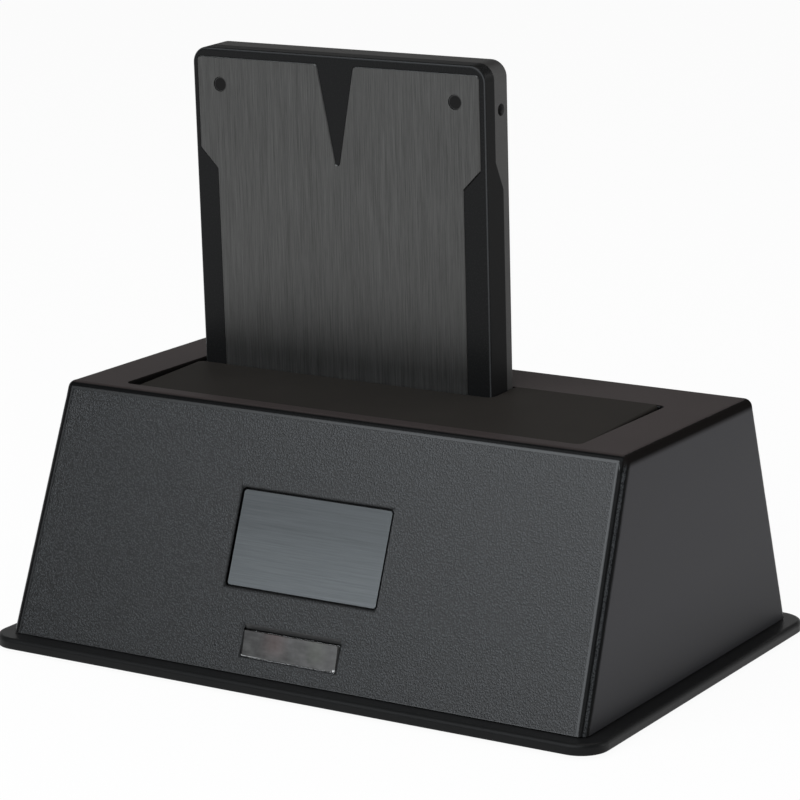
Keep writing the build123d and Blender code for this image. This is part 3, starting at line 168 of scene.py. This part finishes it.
class Paint(Graph):
    """One material: its layers of finish, and what feeds them. Places are in millimetres."""

    def __init__(self, name):
        self.material = bpy.data.materials.new(name)
        super().__init__(self.material)
        self.shader = self.tree.nodes["Principled BSDF"]
        self.surface = self.tree.nodes["Material Output"].inputs["Surface"]
        coordinate = self.make("ShaderNodeTexCoord")
        inputs = {0: coordinate.outputs["Object"], "Scale": MM}
        self.place = self.make("ShaderNodeVectorMath", {"operation": "SCALE"}, inputs).outputs[0]
        self.normal = coordinate.outputs["Normal"]

    def finish(self, colour, roughness, metallic=0.0, **others):
        """Set the sockets of the layer that is being made."""
        sockets = {"Base Color": colour, "Roughness": roughness, "Metallic": metallic}
        for name, value in others.items():
            sockets[name.replace("_", " ")] = value
        for name, value in sockets.items():
            self.plug(self.shader.inputs[name], value)

    def overlay(self, share, colour, roughness, metallic=0.0, **others):
        """Lay another finish over what is there, as far as the share goes from 0 to 1."""
        under = self.surface.links[0].from_socket
        self.shader = self.make("ShaderNodeBsdfPrincipled")
        self.finish(colour, roughness, metallic, **others)
        mixed = self.make("ShaderNodeMixShader", None, {0: share, 1: under, 2: self.shader.outputs[0]})
        self.tree.links.new(mixed.outputs[0], self.surface)

    def along(self, direction, origin=(0, 0, 0)):
        """How far a place lies along a direction from an origin."""
        inputs = {0: self.place, 1: origin}
        offset = self.make("ShaderNodeVectorMath", {"operation": "SUBTRACT"}, inputs)
        inputs = {0: offset.outputs[0], 1: direction}
        product = self.make("ShaderNodeVectorMath", {"operation": "DOT_PRODUCT"}, inputs)
        return Value(self, product.outputs["Value"])

    def noise(self, scale, detail=2.0, roughness=0.5, place=None, distortion=0.0):
        """Cloudy noise between 0 and 1, mostly near 0.5."""
        inputs = {"Vector": place or self.place, "Scale": scale, "Detail": detail}
        inputs.update({"Roughness": roughness, "Distortion": distortion})
        return Value(self, self.make("ShaderNodeTexNoise", None, inputs).outputs[0])

    def cells(self, scale, spread=1.0):
        """Distance from the middles of scattered cells."""
        inputs = {"Vector": self.place, "Scale": scale, "Randomness": spread}
        node = self.make("ShaderNodeTexVoronoi", {"feature": "F1"}, inputs)
        return Value(self, node.outputs["Distance"])

    def soft_cells(self, scale, softness, place):
        """Distance from the middles of scattered cells that melt into each other."""
        inputs = {"Vector": place, "Scale": scale, "Smoothness": softness}
        node = self.make("ShaderNodeTexVoronoi", {"feature": "SMOOTH_F1"}, inputs)
        return Value(self, node.outputs["Distance"])

    def blend(self, share, first, second):
        """Colour between two colours."""
        node = self.make("ShaderNodeMix", {"data_type": "RGBA"}, {0: share, 6: first, 7: second})
        return node.outputs[2]

    def bump(self, height, strength, depth):
        """Normal of a relief whose height of 1 is the depth, in metres."""
        inputs = {"Strength": strength, "Distance": depth, "Height": height}
        return self.make("ShaderNodeBump", None, inputs).outputs[0]


def grey(level, warm=0.0):
    """A grey with a little warmth, or coolness below zero."""
    return (level * (1 + warm), level, level * (1 - warm))


def scaled(colour, share):
    """A colour made lighter or darker."""
    return tuple(part * share for part in colour)


def front_axes(paint):
    """Across, up the slope and out of the front face, in millimetres, from the seam at its foot."""
    origin = (0, -body_depth / 2, seam_height)
    across = paint.along((1, 0, 0), origin)
    climb = paint.along((0, lean_in, lean_up), origin)
    out = paint.along((0, -lean_up, lean_in), origin)
    return across, climb, out


class ShellPaint(Paint):
    """Black moulded plastic of the shell, one finish laid over another."""

    def __init__(self):
        super().__init__("shell_plastic")
        self.across, self.climb, self.out = front_axes(self)
        self.height = self.split(self.place)[2]
        sideways, self.back, self.up = self.split(self.normal)
        self.side = abs(sideways)
        self.facing = self.up * lean_in - self.back * lean_up
        self.fine = self.noise(5.0, detail=2.0, roughness=0.6)
        widen, flatten = 1.15, 0.9
        grained = self.join(self.across * widen, self.climb * flatten, self.out)
        self.crumple = self.noise(3.4, detail=3.0, roughness=0.6, place=grained, distortion=0.5)
        self.pebbles = self.soft_cells(2.6, softness=0.4, place=grained).fall(0.08, 0.7)
        # Colour of the grain: its own tone, with its hollows darker as painted shade
        crumple_gain, pebble_gain, middle = 3.4, 1.2, 0.45
        crumpled = (self.crumple - 0.5) * crumple_gain
        self.grain_and_hollow_shade = crumpled + (self.pebbles - 0.5) * pebble_gain + middle
        self.field = self.front_field()

    def front_field(self):
        """The pebbled part of the front, which narrows upwards."""
        half_width = abs(self.across) + self.climb * (side_run / front_slope)
        inside = half_width < body_length / 2 - field_inset
        over_foot = self.climb > field_foot
        under_head = self.climb < front_slope - field_head
        return inside * over_foot * under_head * (self.out > -field_depth)

    def lay_edges(self):
        """Dark smooth edges, with a broken glint along the rounding between front and side."""
        rounding = self.side.rise(0.50, 0.62) * self.side.fall(0.74, 0.86)
        upright = abs(self.up).fall(0.35, 0.55)
        glint = rounding * upright * self.crumple.rise(0.30, 0.62)
        dark = self.blend(self.fine, grey(0.003, warm=-0.03), grey(0.006, warm=-0.03))
        smooth, spread = 0.22, 0.06
        self.finish(
            self.blend(glint, dark, grey(0.052, warm=-0.05)),
            smooth + self.fine * spread,
            Specular_IOR_Level=0.05,
            Normal=self.bump(self.fine, strength=0.6, depth=0.000008),
        )

    def lay_strip(self):
        """Glossier smooth strip round the pebbled field, with a painted highlight that grows lighter to
        the right.
        """
        # The strip's colour is a painted highlight, lighter towards its right end
        left_end, right_end = -60.0, 60.0
        self.overlay(
            self.facing.rise(0.985, 0.999),
            self.blend(
                self.across.rise(left_end, right_end), grey(0.008, warm=-0.05), grey(0.035, warm=-0.05)
            ),
            roughness=0.34,
            Specular_IOR_Level=0.5,
        )

    def lay_walls(self):
        """Satin sides and back, with painted shade darkening their foot and a little their top."""
        walls = self.side.rise(0.95, 0.995).most(self.back.rise(0.9, 0.98))
        top_loss, mottle = 0.25, 0.5
        # Painted shade: darker towards the foot and a little towards the top
        tone = self.height.rise(2.0, 24.0) - self.height.rise(34.0, 52.0) * top_loss
        tone = tone + (self.fine - 0.5) * mottle
        satin, spread = 0.44, 0.06
        self.overlay(
            walls,
            self.blend(tone, (0.030, 0.030, 0.0325), (0.045, 0.0445, 0.0485)),
            satin + self.fine * spread,
            Specular_IOR_Level=0.09,
            Normal=self.bump(self.fine, strength=0.6, depth=0.000004),
        )

    def lay_side_edge_shade(self):
        """Painted shade: a dark band where each side rounds into the top, standing in for a dark
        reflection.
        """
        band = self.height.rise(50.2, 51.6) * self.side.rise(0.35, 0.50)
        cover = 0.92
        self.overlay(band * cover, (0.0085, 0.0075, 0.0070), roughness=0.5, Specular_IOR_Level=0.0)

    def lay_field(self):
        """Pebbled front field, with the smooth bevel over the window painted lighter as painted light."""
        bevel_half_length, bevel_foot, bevel_head = 12.6, 7.6, 10.6
        near_window = (self.climb > bevel_foot) * (self.climb < bevel_head)
        near_window = near_window * (abs(self.across) < bevel_half_length)
        # The bevel over the window is painted lighter, as painted light
        bevel = self.facing.fall(0.93, 0.98) * near_window
        cover = 0.8
        pebbled = self.blend(self.grain_and_hollow_shade, grey(0.0025, warm=-0.10), grey(0.0245, warm=-0.10))
        sheen, fine_spread, grain_spread = 0.30, 0.06, 0.12
        pebble_height, crumple_height = 0.5, 0.9
        relief = self.pebbles * pebble_height + self.crumple * crumple_height
        self.overlay(
            self.field,
            self.blend(bevel * cover, pebbled, grey(0.045)),
            sheen + self.fine * fine_spread + (self.crumple - 0.5) * grain_spread,
            Specular_IOR_Level=0.5,
            Normal=self.bump(relief, strength=1.0, depth=0.000042),
        )

    def lay_recesses(self):
        """Painted shade round the name plate and the window, and a dark sheet of painted shade inside the
        window's opening.
        """
        plate_low, plate_high = (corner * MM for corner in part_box("name_plate"))
        plate_half = (plate_high.x - plate_low.x) / 2
        plate_middle = ((plate_high.z + plate_low.z) / 2 - seam_height) / lean_up
        plate_reach = (plate_high.z - plate_low.z) / 2 / lean_up
        aside = 0.25
        past_plate = (abs(self.across + aside) - plate_half).most(
            abs(self.climb - plate_middle - aside) - plate_reach
        )
        past_window = (abs(self.across) - window_length / 2 - window_gap).most(
            abs(self.climb - window_rise) - window_height / 2 - window_gap
        )
        # A band of painted shade over the window, where the shell turns down towards it
        lip_shade = self.across.rise(-12.8, -11.8) * self.across.fall(11.8, 12.8)
        lip_shade = lip_shade * self.climb.rise(8.8, 9.1) * self.climb.fall(9.3, 11.2)
        plate_share, ring_share, lip_share, deepest = 0.85, 0.75, 0.30, 0.9
        shade = past_plate.fall(0.15, 0.9) * plate_share + lip_shade * lip_share
        shade = (shade + past_window.fall(0.05, 0.40) * ring_share).least(deepest)
        self.overlay(
            self.field * shade,
            self.blend(self.grain_and_hollow_shade, grey(0.001), grey(0.004)),
            roughness=0.6,
            Specular_IOR_Level=0.08,
        )
        # Painted shade: a dark sheet inside the window's opening
        well_margin, well_depth = 0.3, 2.5
        well_shade = (past_window < well_margin) * (self.out > -well_depth) * self.facing.fall(0.5, 0.8)
        self.overlay(well_shade, grey(0.0015), roughness=0.6, Specular_IOR_Level=0.0)

    def lay_top(self):
        """Dull top, its warm tint painted light standing in for warm light from above."""
        cloud = self.noise(0.05, detail=3.0)
        dull, spread = 0.50, 0.12
        self.overlay(
            self.up.rise(0.80, 0.97) * self.side.fall(0.22, 0.42),
            self.blend(cloud, (0.0325, 0.0264, 0.0255), (0.0415, 0.0340, 0.0330)),
            dull + self.fine * spread,
            Specular_IOR_Level=0.05,
            Normal=self.bump(self.fine, strength=0.6, depth=0.000015),
        )


def shell_plastic():
    """Black moulded plastic: pebbled front field, satin sides, dark smooth edges, a dull top tinted warm
    as painted light.
    """
    paint = ShellPaint()
    paint.lay_edges()
    paint.lay_strip()
    paint.lay_walls()
    paint.lay_side_edge_shade()
    paint.lay_field()
    paint.lay_recesses()
    paint.lay_top()
    return paint.material


def drive_black():
    """Smooth black shell of the drive, with a painted highlight along its edges."""
    paint = Paint("drive_black")
    side, back, up = paint.split(paint.normal)
    facing = up * -sin(drive_lean) - back * cos(drive_lean)
    fine = paint.noise(3.0, detail=3.0, roughness=0.6)
    top_loss = 0.4
    # Painted highlight along the rounded ridge, weaker on its top edge
    ridge_highlight = facing.rise(0.45, 0.60) * facing.fall(0.80, 0.92) * (1.0 - up.rise(0.2, 0.6) * top_loss)
    polished, spread = 0.24, 0.06
    paint.finish(
        paint.blend(ridge_highlight, grey(0.0085, warm=-0.02), grey(0.055, warm=-0.03)),
        polished + fine * spread,
        Specular_IOR_Level=0.10,
        Normal=paint.bump(fine, strength=0.5, depth=0.000005),
    )
    side_colour = paint.blend(fine, grey(0.013), grey(0.018))
    paint.overlay(side.rise(0.9, 0.99), side_colour, roughness=0.45, Specular_IOR_Level=0.02)
    top_colour = paint.blend(fine, grey(0.005), grey(0.009))
    paint.overlay(up.rise(0.75, 0.95), top_colour, roughness=0.5, Specular_IOR_Level=0.02)
    return paint.material


def drive_coat():
    """Painted metal of the drive's case: grey sides, a darker top end."""
    paint = Paint("drive_coat")
    up = paint.split(paint.normal)[2]
    fine = paint.noise(4.0, detail=3.0, roughness=0.6)
    relief = paint.bump(fine, strength=0.5, depth=0.00002)
    satin, spread = 0.38, 0.1
    paint.finish(
        paint.blend(fine, grey(0.045, warm=0.02), grey(0.095, warm=0.02)),
        satin + fine * spread,
        Specular_IOR_Level=0.11,
        Normal=relief,
    )
    paint.overlay(
        up.rise(0.6, 0.9),
        paint.blend(fine, grey(0.024, warm=0.03), grey(0.050, warm=0.03)),
        roughness=0.5,
        Specular_IOR_Level=0.03,
        Normal=relief,
    )
    return paint.material


def smooth_plastic(name, level, roughness, warm=0.0, grain=3.0, depth=0.00002, gloss=0.15):
    """Moulded plastic with a fine even skin, a little cloudy in tone and gloss."""
    paint = Paint(name)
    fine = paint.noise(grain, detail=3.0, roughness=0.6)
    cloud = paint.noise(0.06, detail=3.0)
    darker, lighter = 0.85, 1.15
    smoothest, fine_spread, cloud_spread = roughness - 0.05, 0.08, 0.04
    paint.finish(
        paint.blend(cloud, grey(level * darker, warm), grey(level * lighter, warm)),
        smoothest + fine * fine_spread + cloud * cloud_spread,
        Specular_IOR_Level=gloss,
        Normal=paint.bump(fine, strength=0.5, depth=depth),
    )
    return paint.material


def clear_plastic(name, colour, roughness, **others):
    """Clear or tinted plastic that carries light."""
    paint = Paint(name)
    paint.finish(colour, roughness, IOR=1.49, **others)
    return paint.material


def brushed_metal(name, colour, brush, contrast, streak, fade_from, fade_to, gain, lean=0.0):
    """Metal with fine streaks in its colour, gloss and relief, brushed across ("X") or up ("Z").

    Going down from fade_to to fade_from, in millimetres, it grows lighter by the gain: painted light.
    """
    paint = Paint(name)
    x = paint.split(paint.place)[0]
    up = paint.along((0, -sin(lean), cos(lean)))
    depth = paint.along((0, cos(lean), sin(lean)))

    def drawn_out(length, width):
        if brush == "X":
            return paint.join(x * length, depth * width, up * width)
        return paint.join(x * width, depth * width, up * length)

    hair = paint.noise(streak, detail=5.0, roughness=0.8, place=drawn_out(length=0.02, width=1.0))
    band = paint.noise(2.0, detail=3.0, roughness=0.6, place=drawn_out(length=0.004, width=0.3))
    hair_gain, band_gain = 4.5 * contrast, 0.8 * contrast
    tone = (hair - 0.5) * hair_gain + (band - 0.5) * band_gain + 0.5
    dark = scaled(colour, 0.72)
    light = scaled(colour, 1.28)
    plain = paint.blend(tone, dark, light)
    # Painted light: a lighter copy of the streaked colour for the lower part
    painted_lighter = paint.blend(tone, scaled(dark, gain), scaled(light, gain))
    gloss, spread = 0.42, 0.2
    paint.finish(
        paint.blend(up.fall(fade_from, fade_to), plain, painted_lighter),
        gloss + (hair - 0.5) * spread,
        metallic=1.0,
        Normal=paint.bump(hair, strength=0.35, depth=0.00002),
    )
    return paint.material


def plain_metal(name, colour, roughness=0.3):
    """Drawn, plated or turned metal with light marks."""
    paint = Paint(name)
    fine = paint.noise(4.0, detail=4.0, roughness=0.65)
    spread = 0.2
    paint.finish(
        colour,
        roughness + (fine - 0.5) * spread,
        metallic=1.0,
        Normal=paint.bump(fine, strength=0.4, depth=0.00001),
    )
    return paint.material


def rubber_finish():
    """Matt rubber with a coarse skin."""
    paint = Paint("rubber_finish")
    fine = paint.noise(3.0, detail=4.0, roughness=0.7)
    paint.finish(
        paint.blend(fine, grey(0.016), grey(0.028)),
        roughness=0.8,
        Normal=paint.bump(fine, strength=0.5, depth=0.00006),
    )
    return paint.material


def board_finish(name, mask):
    """Circuit board: solder mask over tracks, with pads and plated holes."""
    paint = Paint(name)
    x, y = paint.split(paint.place)[:2]
    track_pitch, wave_pitch, wander = 2.6, 1.4, 9.0
    waves = (paint.noise(0.12, detail=1.0) * wander + y * wave_pitch).sine()
    tracks = ((x * track_pitch).sine() * waves).rise(0.55, 0.7)
    pads = paint.cells(0.3, spread=0.6).fall(0.16, 0.22)
    copper = (0.7, 0.55, 0.3)
    over_track, track_share, pad_share, pad_height = 1.8, 0.5, 0.8, 0.5
    masked = paint.blend(tracks * track_share, mask, scaled(mask, over_track))
    paint.finish(
        paint.blend(pads * pad_share, masked, copper),
        roughness=0.35,
        Coat_Weight=0.3,
        Normal=paint.bump(tracks + pads * pad_height, strength=0.4, depth=0.00003),
    )
    return paint.material


def window_finish():
    """Smoked window with the dim colours of the lights behind it, painted shade along its left edge and
    painted highlights on the cut edges at its foot.
    """
    paint = Paint("smoked_window")
    across, climb, out = front_axes(paint)
    cloud = paint.noise(0.30, detail=3.0, roughness=0.65)
    drawn_out = 0.25
    streak = paint.noise(1.2, detail=2.0, roughness=0.6, place=paint.join(across * drawn_out, climb, out))
    streak_gain, right_gain, middle = 0.5, 0.4, 0.30
    # The smoke is painted lighter to the right, as painted light
    tone = (cloud - 0.5) + (streak - 0.5) * streak_gain + across.rise(-11.0, 11.0) * right_gain + middle
    smoke = paint.blend(tone, grey(0.038, warm=0.01), grey(0.135, warm=0.01))

    # Lights that shine through dimly
    red_share, green_share = 0.22, 0.2
    red = across.rise(-7.5, -3.6) * across.fall(-3.0, 0.5) * climb.rise(3.6, 6.6)
    green = across.rise(3.0, 6.2) * across.fall(6.2, 9.5) * climb.rise(3.8, 6.0)
    smoke = paint.blend(red * red_share, smoke, (0.145, 0.082, 0.078))
    smoke = paint.blend(green * green_share, smoke, (0.105, 0.122, 0.085))

    # Painted shade along the left edge, a broken painted highlight along the foot, and painted highlights
    # at the lower corners
    smoke = paint.blend(across.fall(-10.75, -10.55), smoke, grey(0.012))
    line_share, left_share = 0.6, 0.6
    foot = climb.rise(3.7, 3.8) * climb.fall(3.9, 4.05)
    breaks = paint.noise(0.7, detail=1.0).rise(0.38, 0.60)
    foot_highlight = foot * across.fall(-10.0, -3.0) * breaks * line_share
    right_corner_highlight = climb.fall(4.0, 4.4) * across.rise(10.3, 10.6)
    left_corner_highlight = climb.fall(3.95, 4.2) * across.fall(-10.7, -10.5) * left_share
    smooth, spread = 0.18, 0.12
    paint.finish(
        paint.blend(foot_highlight.most(right_corner_highlight + left_corner_highlight), smoke, grey(0.65)),
        smooth + cloud * spread,
        IOR=1.49,
        Specular_IOR_Level=0.3,
    )
    return paint.material


def stud_finish():
    """Dark turned studs, each with a thin brighter rim."""
    paint = Paint("stud_metal")
    low, high = (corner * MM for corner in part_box("drive_studs"))
    middle = (low + high) / 2
    radius = (high.z - low.z) / 2
    stud_offset = (high.x - low.x) / 2 - radius
    up = paint.along((0, -sin(drive_lean), cos(drive_lean)), middle)
    aside = abs(paint.along((1, 0, 0), middle)) - stud_offset
    reach = (aside * aside + up * up) ** 0.5
    rim_start, rim_full = radius * 0.86, radius * 0.95
    turned, spread = 0.32, 0.2
    paint.finish(
        paint.blend(reach.rise(rim_start, rim_full), grey(0.018), grey(0.06)),
        turned + paint.noise(4.0, detail=3.0) * spread,
        metallic=1.0,
    )
    return paint.material


def dress(material, *names):
    """Give CAD nodes their material."""
    for name in names:
        mesh = nodes[name].data
        mesh.materials.clear()
        mesh.materials.append(material)


def dress_housing():
    """Shell, base, lid and what shows on them."""
    dress(shell_plastic(), "upper_shell")
    base = smooth_plastic("base_plastic", 0.009, 0.36, warm=-0.02, grain=2.5, depth=0.00001, gloss=0.10)
    dress(base, "base_plate")
    dress(smooth_plastic("lid_plastic", 0.0215, 0.6, warm=0.10, gloss=0.012), "lid", "flap")
    dress(smooth_plastic("frame_plastic", 0.004, 0.5, gloss=0.03), "slot_frame")
    dress(smooth_plastic("panel_plastic", 0.026, 0.5), "rear_panel")
    dress(rubber_finish(), "rubber_feet")
    plate = brushed_metal(
        "plate_aluminium", (0.088, 0.094, 0.0975), "X", contrast=0.36, streak=2.6,
        fade_from=17.0, fade_to=37.0, gain=1.40,
    )
    dress(plate, "name_plate")
    dress(window_finish(), "light_window")
    dress(clear_plastic("clear_plastic", grey(0.8), 0.1, Transmission_Weight=0.8), "light_guide")
    dress(clear_plastic("light_plastic", (0.3, 0.7, 0.35), 0.15), "status_lights")


def dress_small_metal():
    """Screws, pins and springs."""
    screw = plain_metal("screw_steel", grey(0.2), 0.35)
    dress(screw, "base_screws", "frame_screws", "board_screws", "drive_screws")
    dress(plain_metal("pin_steel", grey(0.55), 0.22), "lid_pin", "flap_pin")
    dress(plain_metal("spring_steel", grey(0.45)), "lid_springs", "flap_spring")


def dress_electronics():
    """Circuit boards and the parts on them."""
    dress(board_finish("board_green", (0.012, 0.09, 0.03)), "main_board")
    dress(board_finish("drive_board_blue", (0.008, 0.03, 0.09)), "drive_board")
    chip = smooth_plastic("chip_plastic", 0.018, 0.55, grain=6.0)
    dress(chip, "bridge_chip", "board_memory", "drive_chips")
    dress(plain_metal("tinned_lead", grey(0.6)), "chip_leads")
    dress(plain_metal("can_aluminium", grey(0.7), 0.28), "capacitors")
    dress(smooth_plastic("coil_ferrite", 0.07, 0.6), "power_coils")
    dress(plain_metal("can_steel", grey(0.6), 0.25), "crystal")


def dress_sockets():
    """Sockets, their contacts, and the power button."""
    socket = smooth_plastic("socket_plastic", 0.012, 0.45)
    dress(socket, "light_holder", "drive_socket", "esata_insert", "power_jack", "drive_plug")
    gold = plain_metal("contact_gold", (0.75, 0.52, 0.2), 0.25)
    dress(gold, "socket_contacts", "drive_contacts", "jack_pin")
    dress(plain_metal("socket_steel", grey(0.55), 0.28), "usb_shell", "esata_shell")
    dress(smooth_plastic("usb_plastic", 0.006, 0.5, gloss=0.05), "usb_insert")
    dress(smooth_plastic("switch_plastic", 0.03, 0.5), "power_switch")
    dress(smooth_plastic("button_plastic", 0.075, 0.35), "power_button")
    dress(smooth_plastic("plunger_plastic", 0.4, 0.5), "switch_plunger")


def dress_drive():
    """Outside of the docked drive."""
    dress(drive_black(), "drive_front_shell")
    dress(drive_coat(), "drive_case")
    plate = brushed_metal(
        "drive_plate", (0.092, 0.0925, 0.091), "Z", contrast=0.7, streak=4.2,
        fade_from=50.0, fade_to=57.0, gain=1.9, lean=drive_lean,
    )
    dress(plate, "drive_face_plate")
    dress(stud_finish(), "drive_studs")


def make_camera():
    """Camera at the photograph's place and angle."""
    back = Vector((
        sin(camera_azimuth) * cos(camera_elevation),
        -cos(camera_azimuth) * cos(camera_elevation),
        sin(camera_elevation),
    ))
    level = Vector((cos(camera_azimuth), sin(camera_azimuth), 0))
    upright = back.cross(level)
    right = level * cos(camera_roll) + upright * sin(camera_roll)
    up = upright * cos(camera_roll) - level * sin(camera_roll)
    eye = right * aim_right + up * aim_up + back * camera_distance + Vector((0, 0, aim_lift))
    data = bpy.data.cameras.new("camera")
    data.sensor_fit = "HORIZONTAL"
    data.sensor_width = sensor_width
    data.lens = focal_pixels * sensor_width / picture_pixels
    data.clip_start = camera_near_limit
    camera = bpy.data.objects.new("camera", data)
    bpy.context.collection.objects.link(camera)
    turn = Matrix((right, up, back)).transposed().to_4x4()
    camera.matrix_world = Matrix.Translation(eye) @ turn
    bpy.context.scene.camera = camera


def make_lamp(name, place, width, height, power, colour):
    """Soft lamp that looks at the middle of the dock."""
    middle = Vector((0, 0, 0.04))
    data = bpy.data.lights.new(name, "AREA")
    data.shape = "RECTANGLE"
    data.size = width
    data.size_y = height
    data.energy = power
    data.color = colour
    lamp = bpy.data.objects.new(name, data)
    bpy.context.collection.objects.link(lamp)
    lamp.location = place
    lamp.rotation_euler = (middle - Vector(place)).to_track_quat("-Z", "Y").to_euler()


def make_lamps():
    """The key lamp over the front, a warm one over the top and a small one at the right."""
    make_lamp(
        "key", (-0.066, -0.545, 0.551), width=0.8, height=0.8, power=6.05, colour=(0.925, 0.965, 1.0)
    )
    make_lamp("top", (0.1, 0.3, 0.95), width=0.6, height=0.5, power=1.4, colour=(1.0, 0.92, 0.88))
    make_lamp("side", (0.75, 0.35, 0.25), width=0.2, height=0.5, power=0.9, colour=(0.97, 0.98, 1.0))


def light_path(graph):
    """Whether the camera sees a ray's end itself, and whether it sees it in gloss or glass."""
    path = graph.make("ShaderNodeLightPath")
    seen = Value(graph, path.outputs["Is Camera Ray"])
    gloss = Value(graph, path.outputs["Is Glossy Ray"])
    return seen, gloss.most(Value(graph, path.outputs["Is Transmission Ray"]))


def make_floor(white_share=0.95, size=6.0):
    """White floor that keeps a little of the object's shadow."""
    bpy.ops.mesh.primitive_plane_add(size=size, location=(0, 0, 0))
    floor = bpy.context.object
    floor.name = "floor"
    white = bpy.data.materials.new("floor_white")
    ground = Graph(white)
    ground.tree.nodes.clear()
    seen, gloss = light_path(ground)
    plain = ground.make("ShaderNodeBsdfDiffuse", None, {"Color": grey(0.85)})
    glow = ground.make("ShaderNodeEmission")
    inputs = {0: seen.most(gloss) * white_share, 1: plain.outputs[0], 2: glow.outputs[0]}
    mixed = ground.make("ShaderNodeMixShader", None, inputs)
    ground.make("ShaderNodeOutputMaterial", None, {"Surface": mixed.outputs[0]})
    floor.data.materials.append(white)


def toward(parts, direction):
    """How far a direction in three parts points toward another."""
    x, y, z = parts
    return x * direction[0] + y * direction[1] + z * direction[2]


def make_world(fill=0.35):
    """White studio. Gloss shows it too, with its ceiling and the side near the camera darker."""
    world = bpy.data.worlds.new("studio")
    bpy.context.scene.world = world
    studio = Graph(world)
    studio.tree.nodes.clear()
    seen, gloss = light_path(studio)
    parts = studio.split(studio.make("ShaderNodeTexCoord").outputs["Generated"])
    ceiling_loss, near_loss, flag_loss = 0.9, 0.6, 0.88
    near_side = (0.766, -0.643, 0.0)
    flag_side = (-0.525, -0.779, 0.342)
    walls = 1.0 - parts[2].rise(0.24, 0.42) * ceiling_loss
    walls = walls * (1.0 - toward(parts, near_side).rise(0.45, 0.8) * near_loss)
    walls = walls * (1.0 - toward(parts, flag_side).rise(0.70, 0.92) * flag_loss)
    strength = seen + (1.0 - seen) * (gloss * walls + (1.0 - gloss) * fill)
    background = studio.make("ShaderNodeBackground", None, {"Strength": strength})
    studio.make("ShaderNodeOutputWorld", None, {"Surface": background.outputs[0]})


dress_housing()
dress_small_metal()
dress_electronics()
dress_sockets()
dress_drive()
make_camera()
make_floor()
make_world()
make_lamps()

scene = bpy.context.scene
scene.view_settings.view_transform = "Standard"
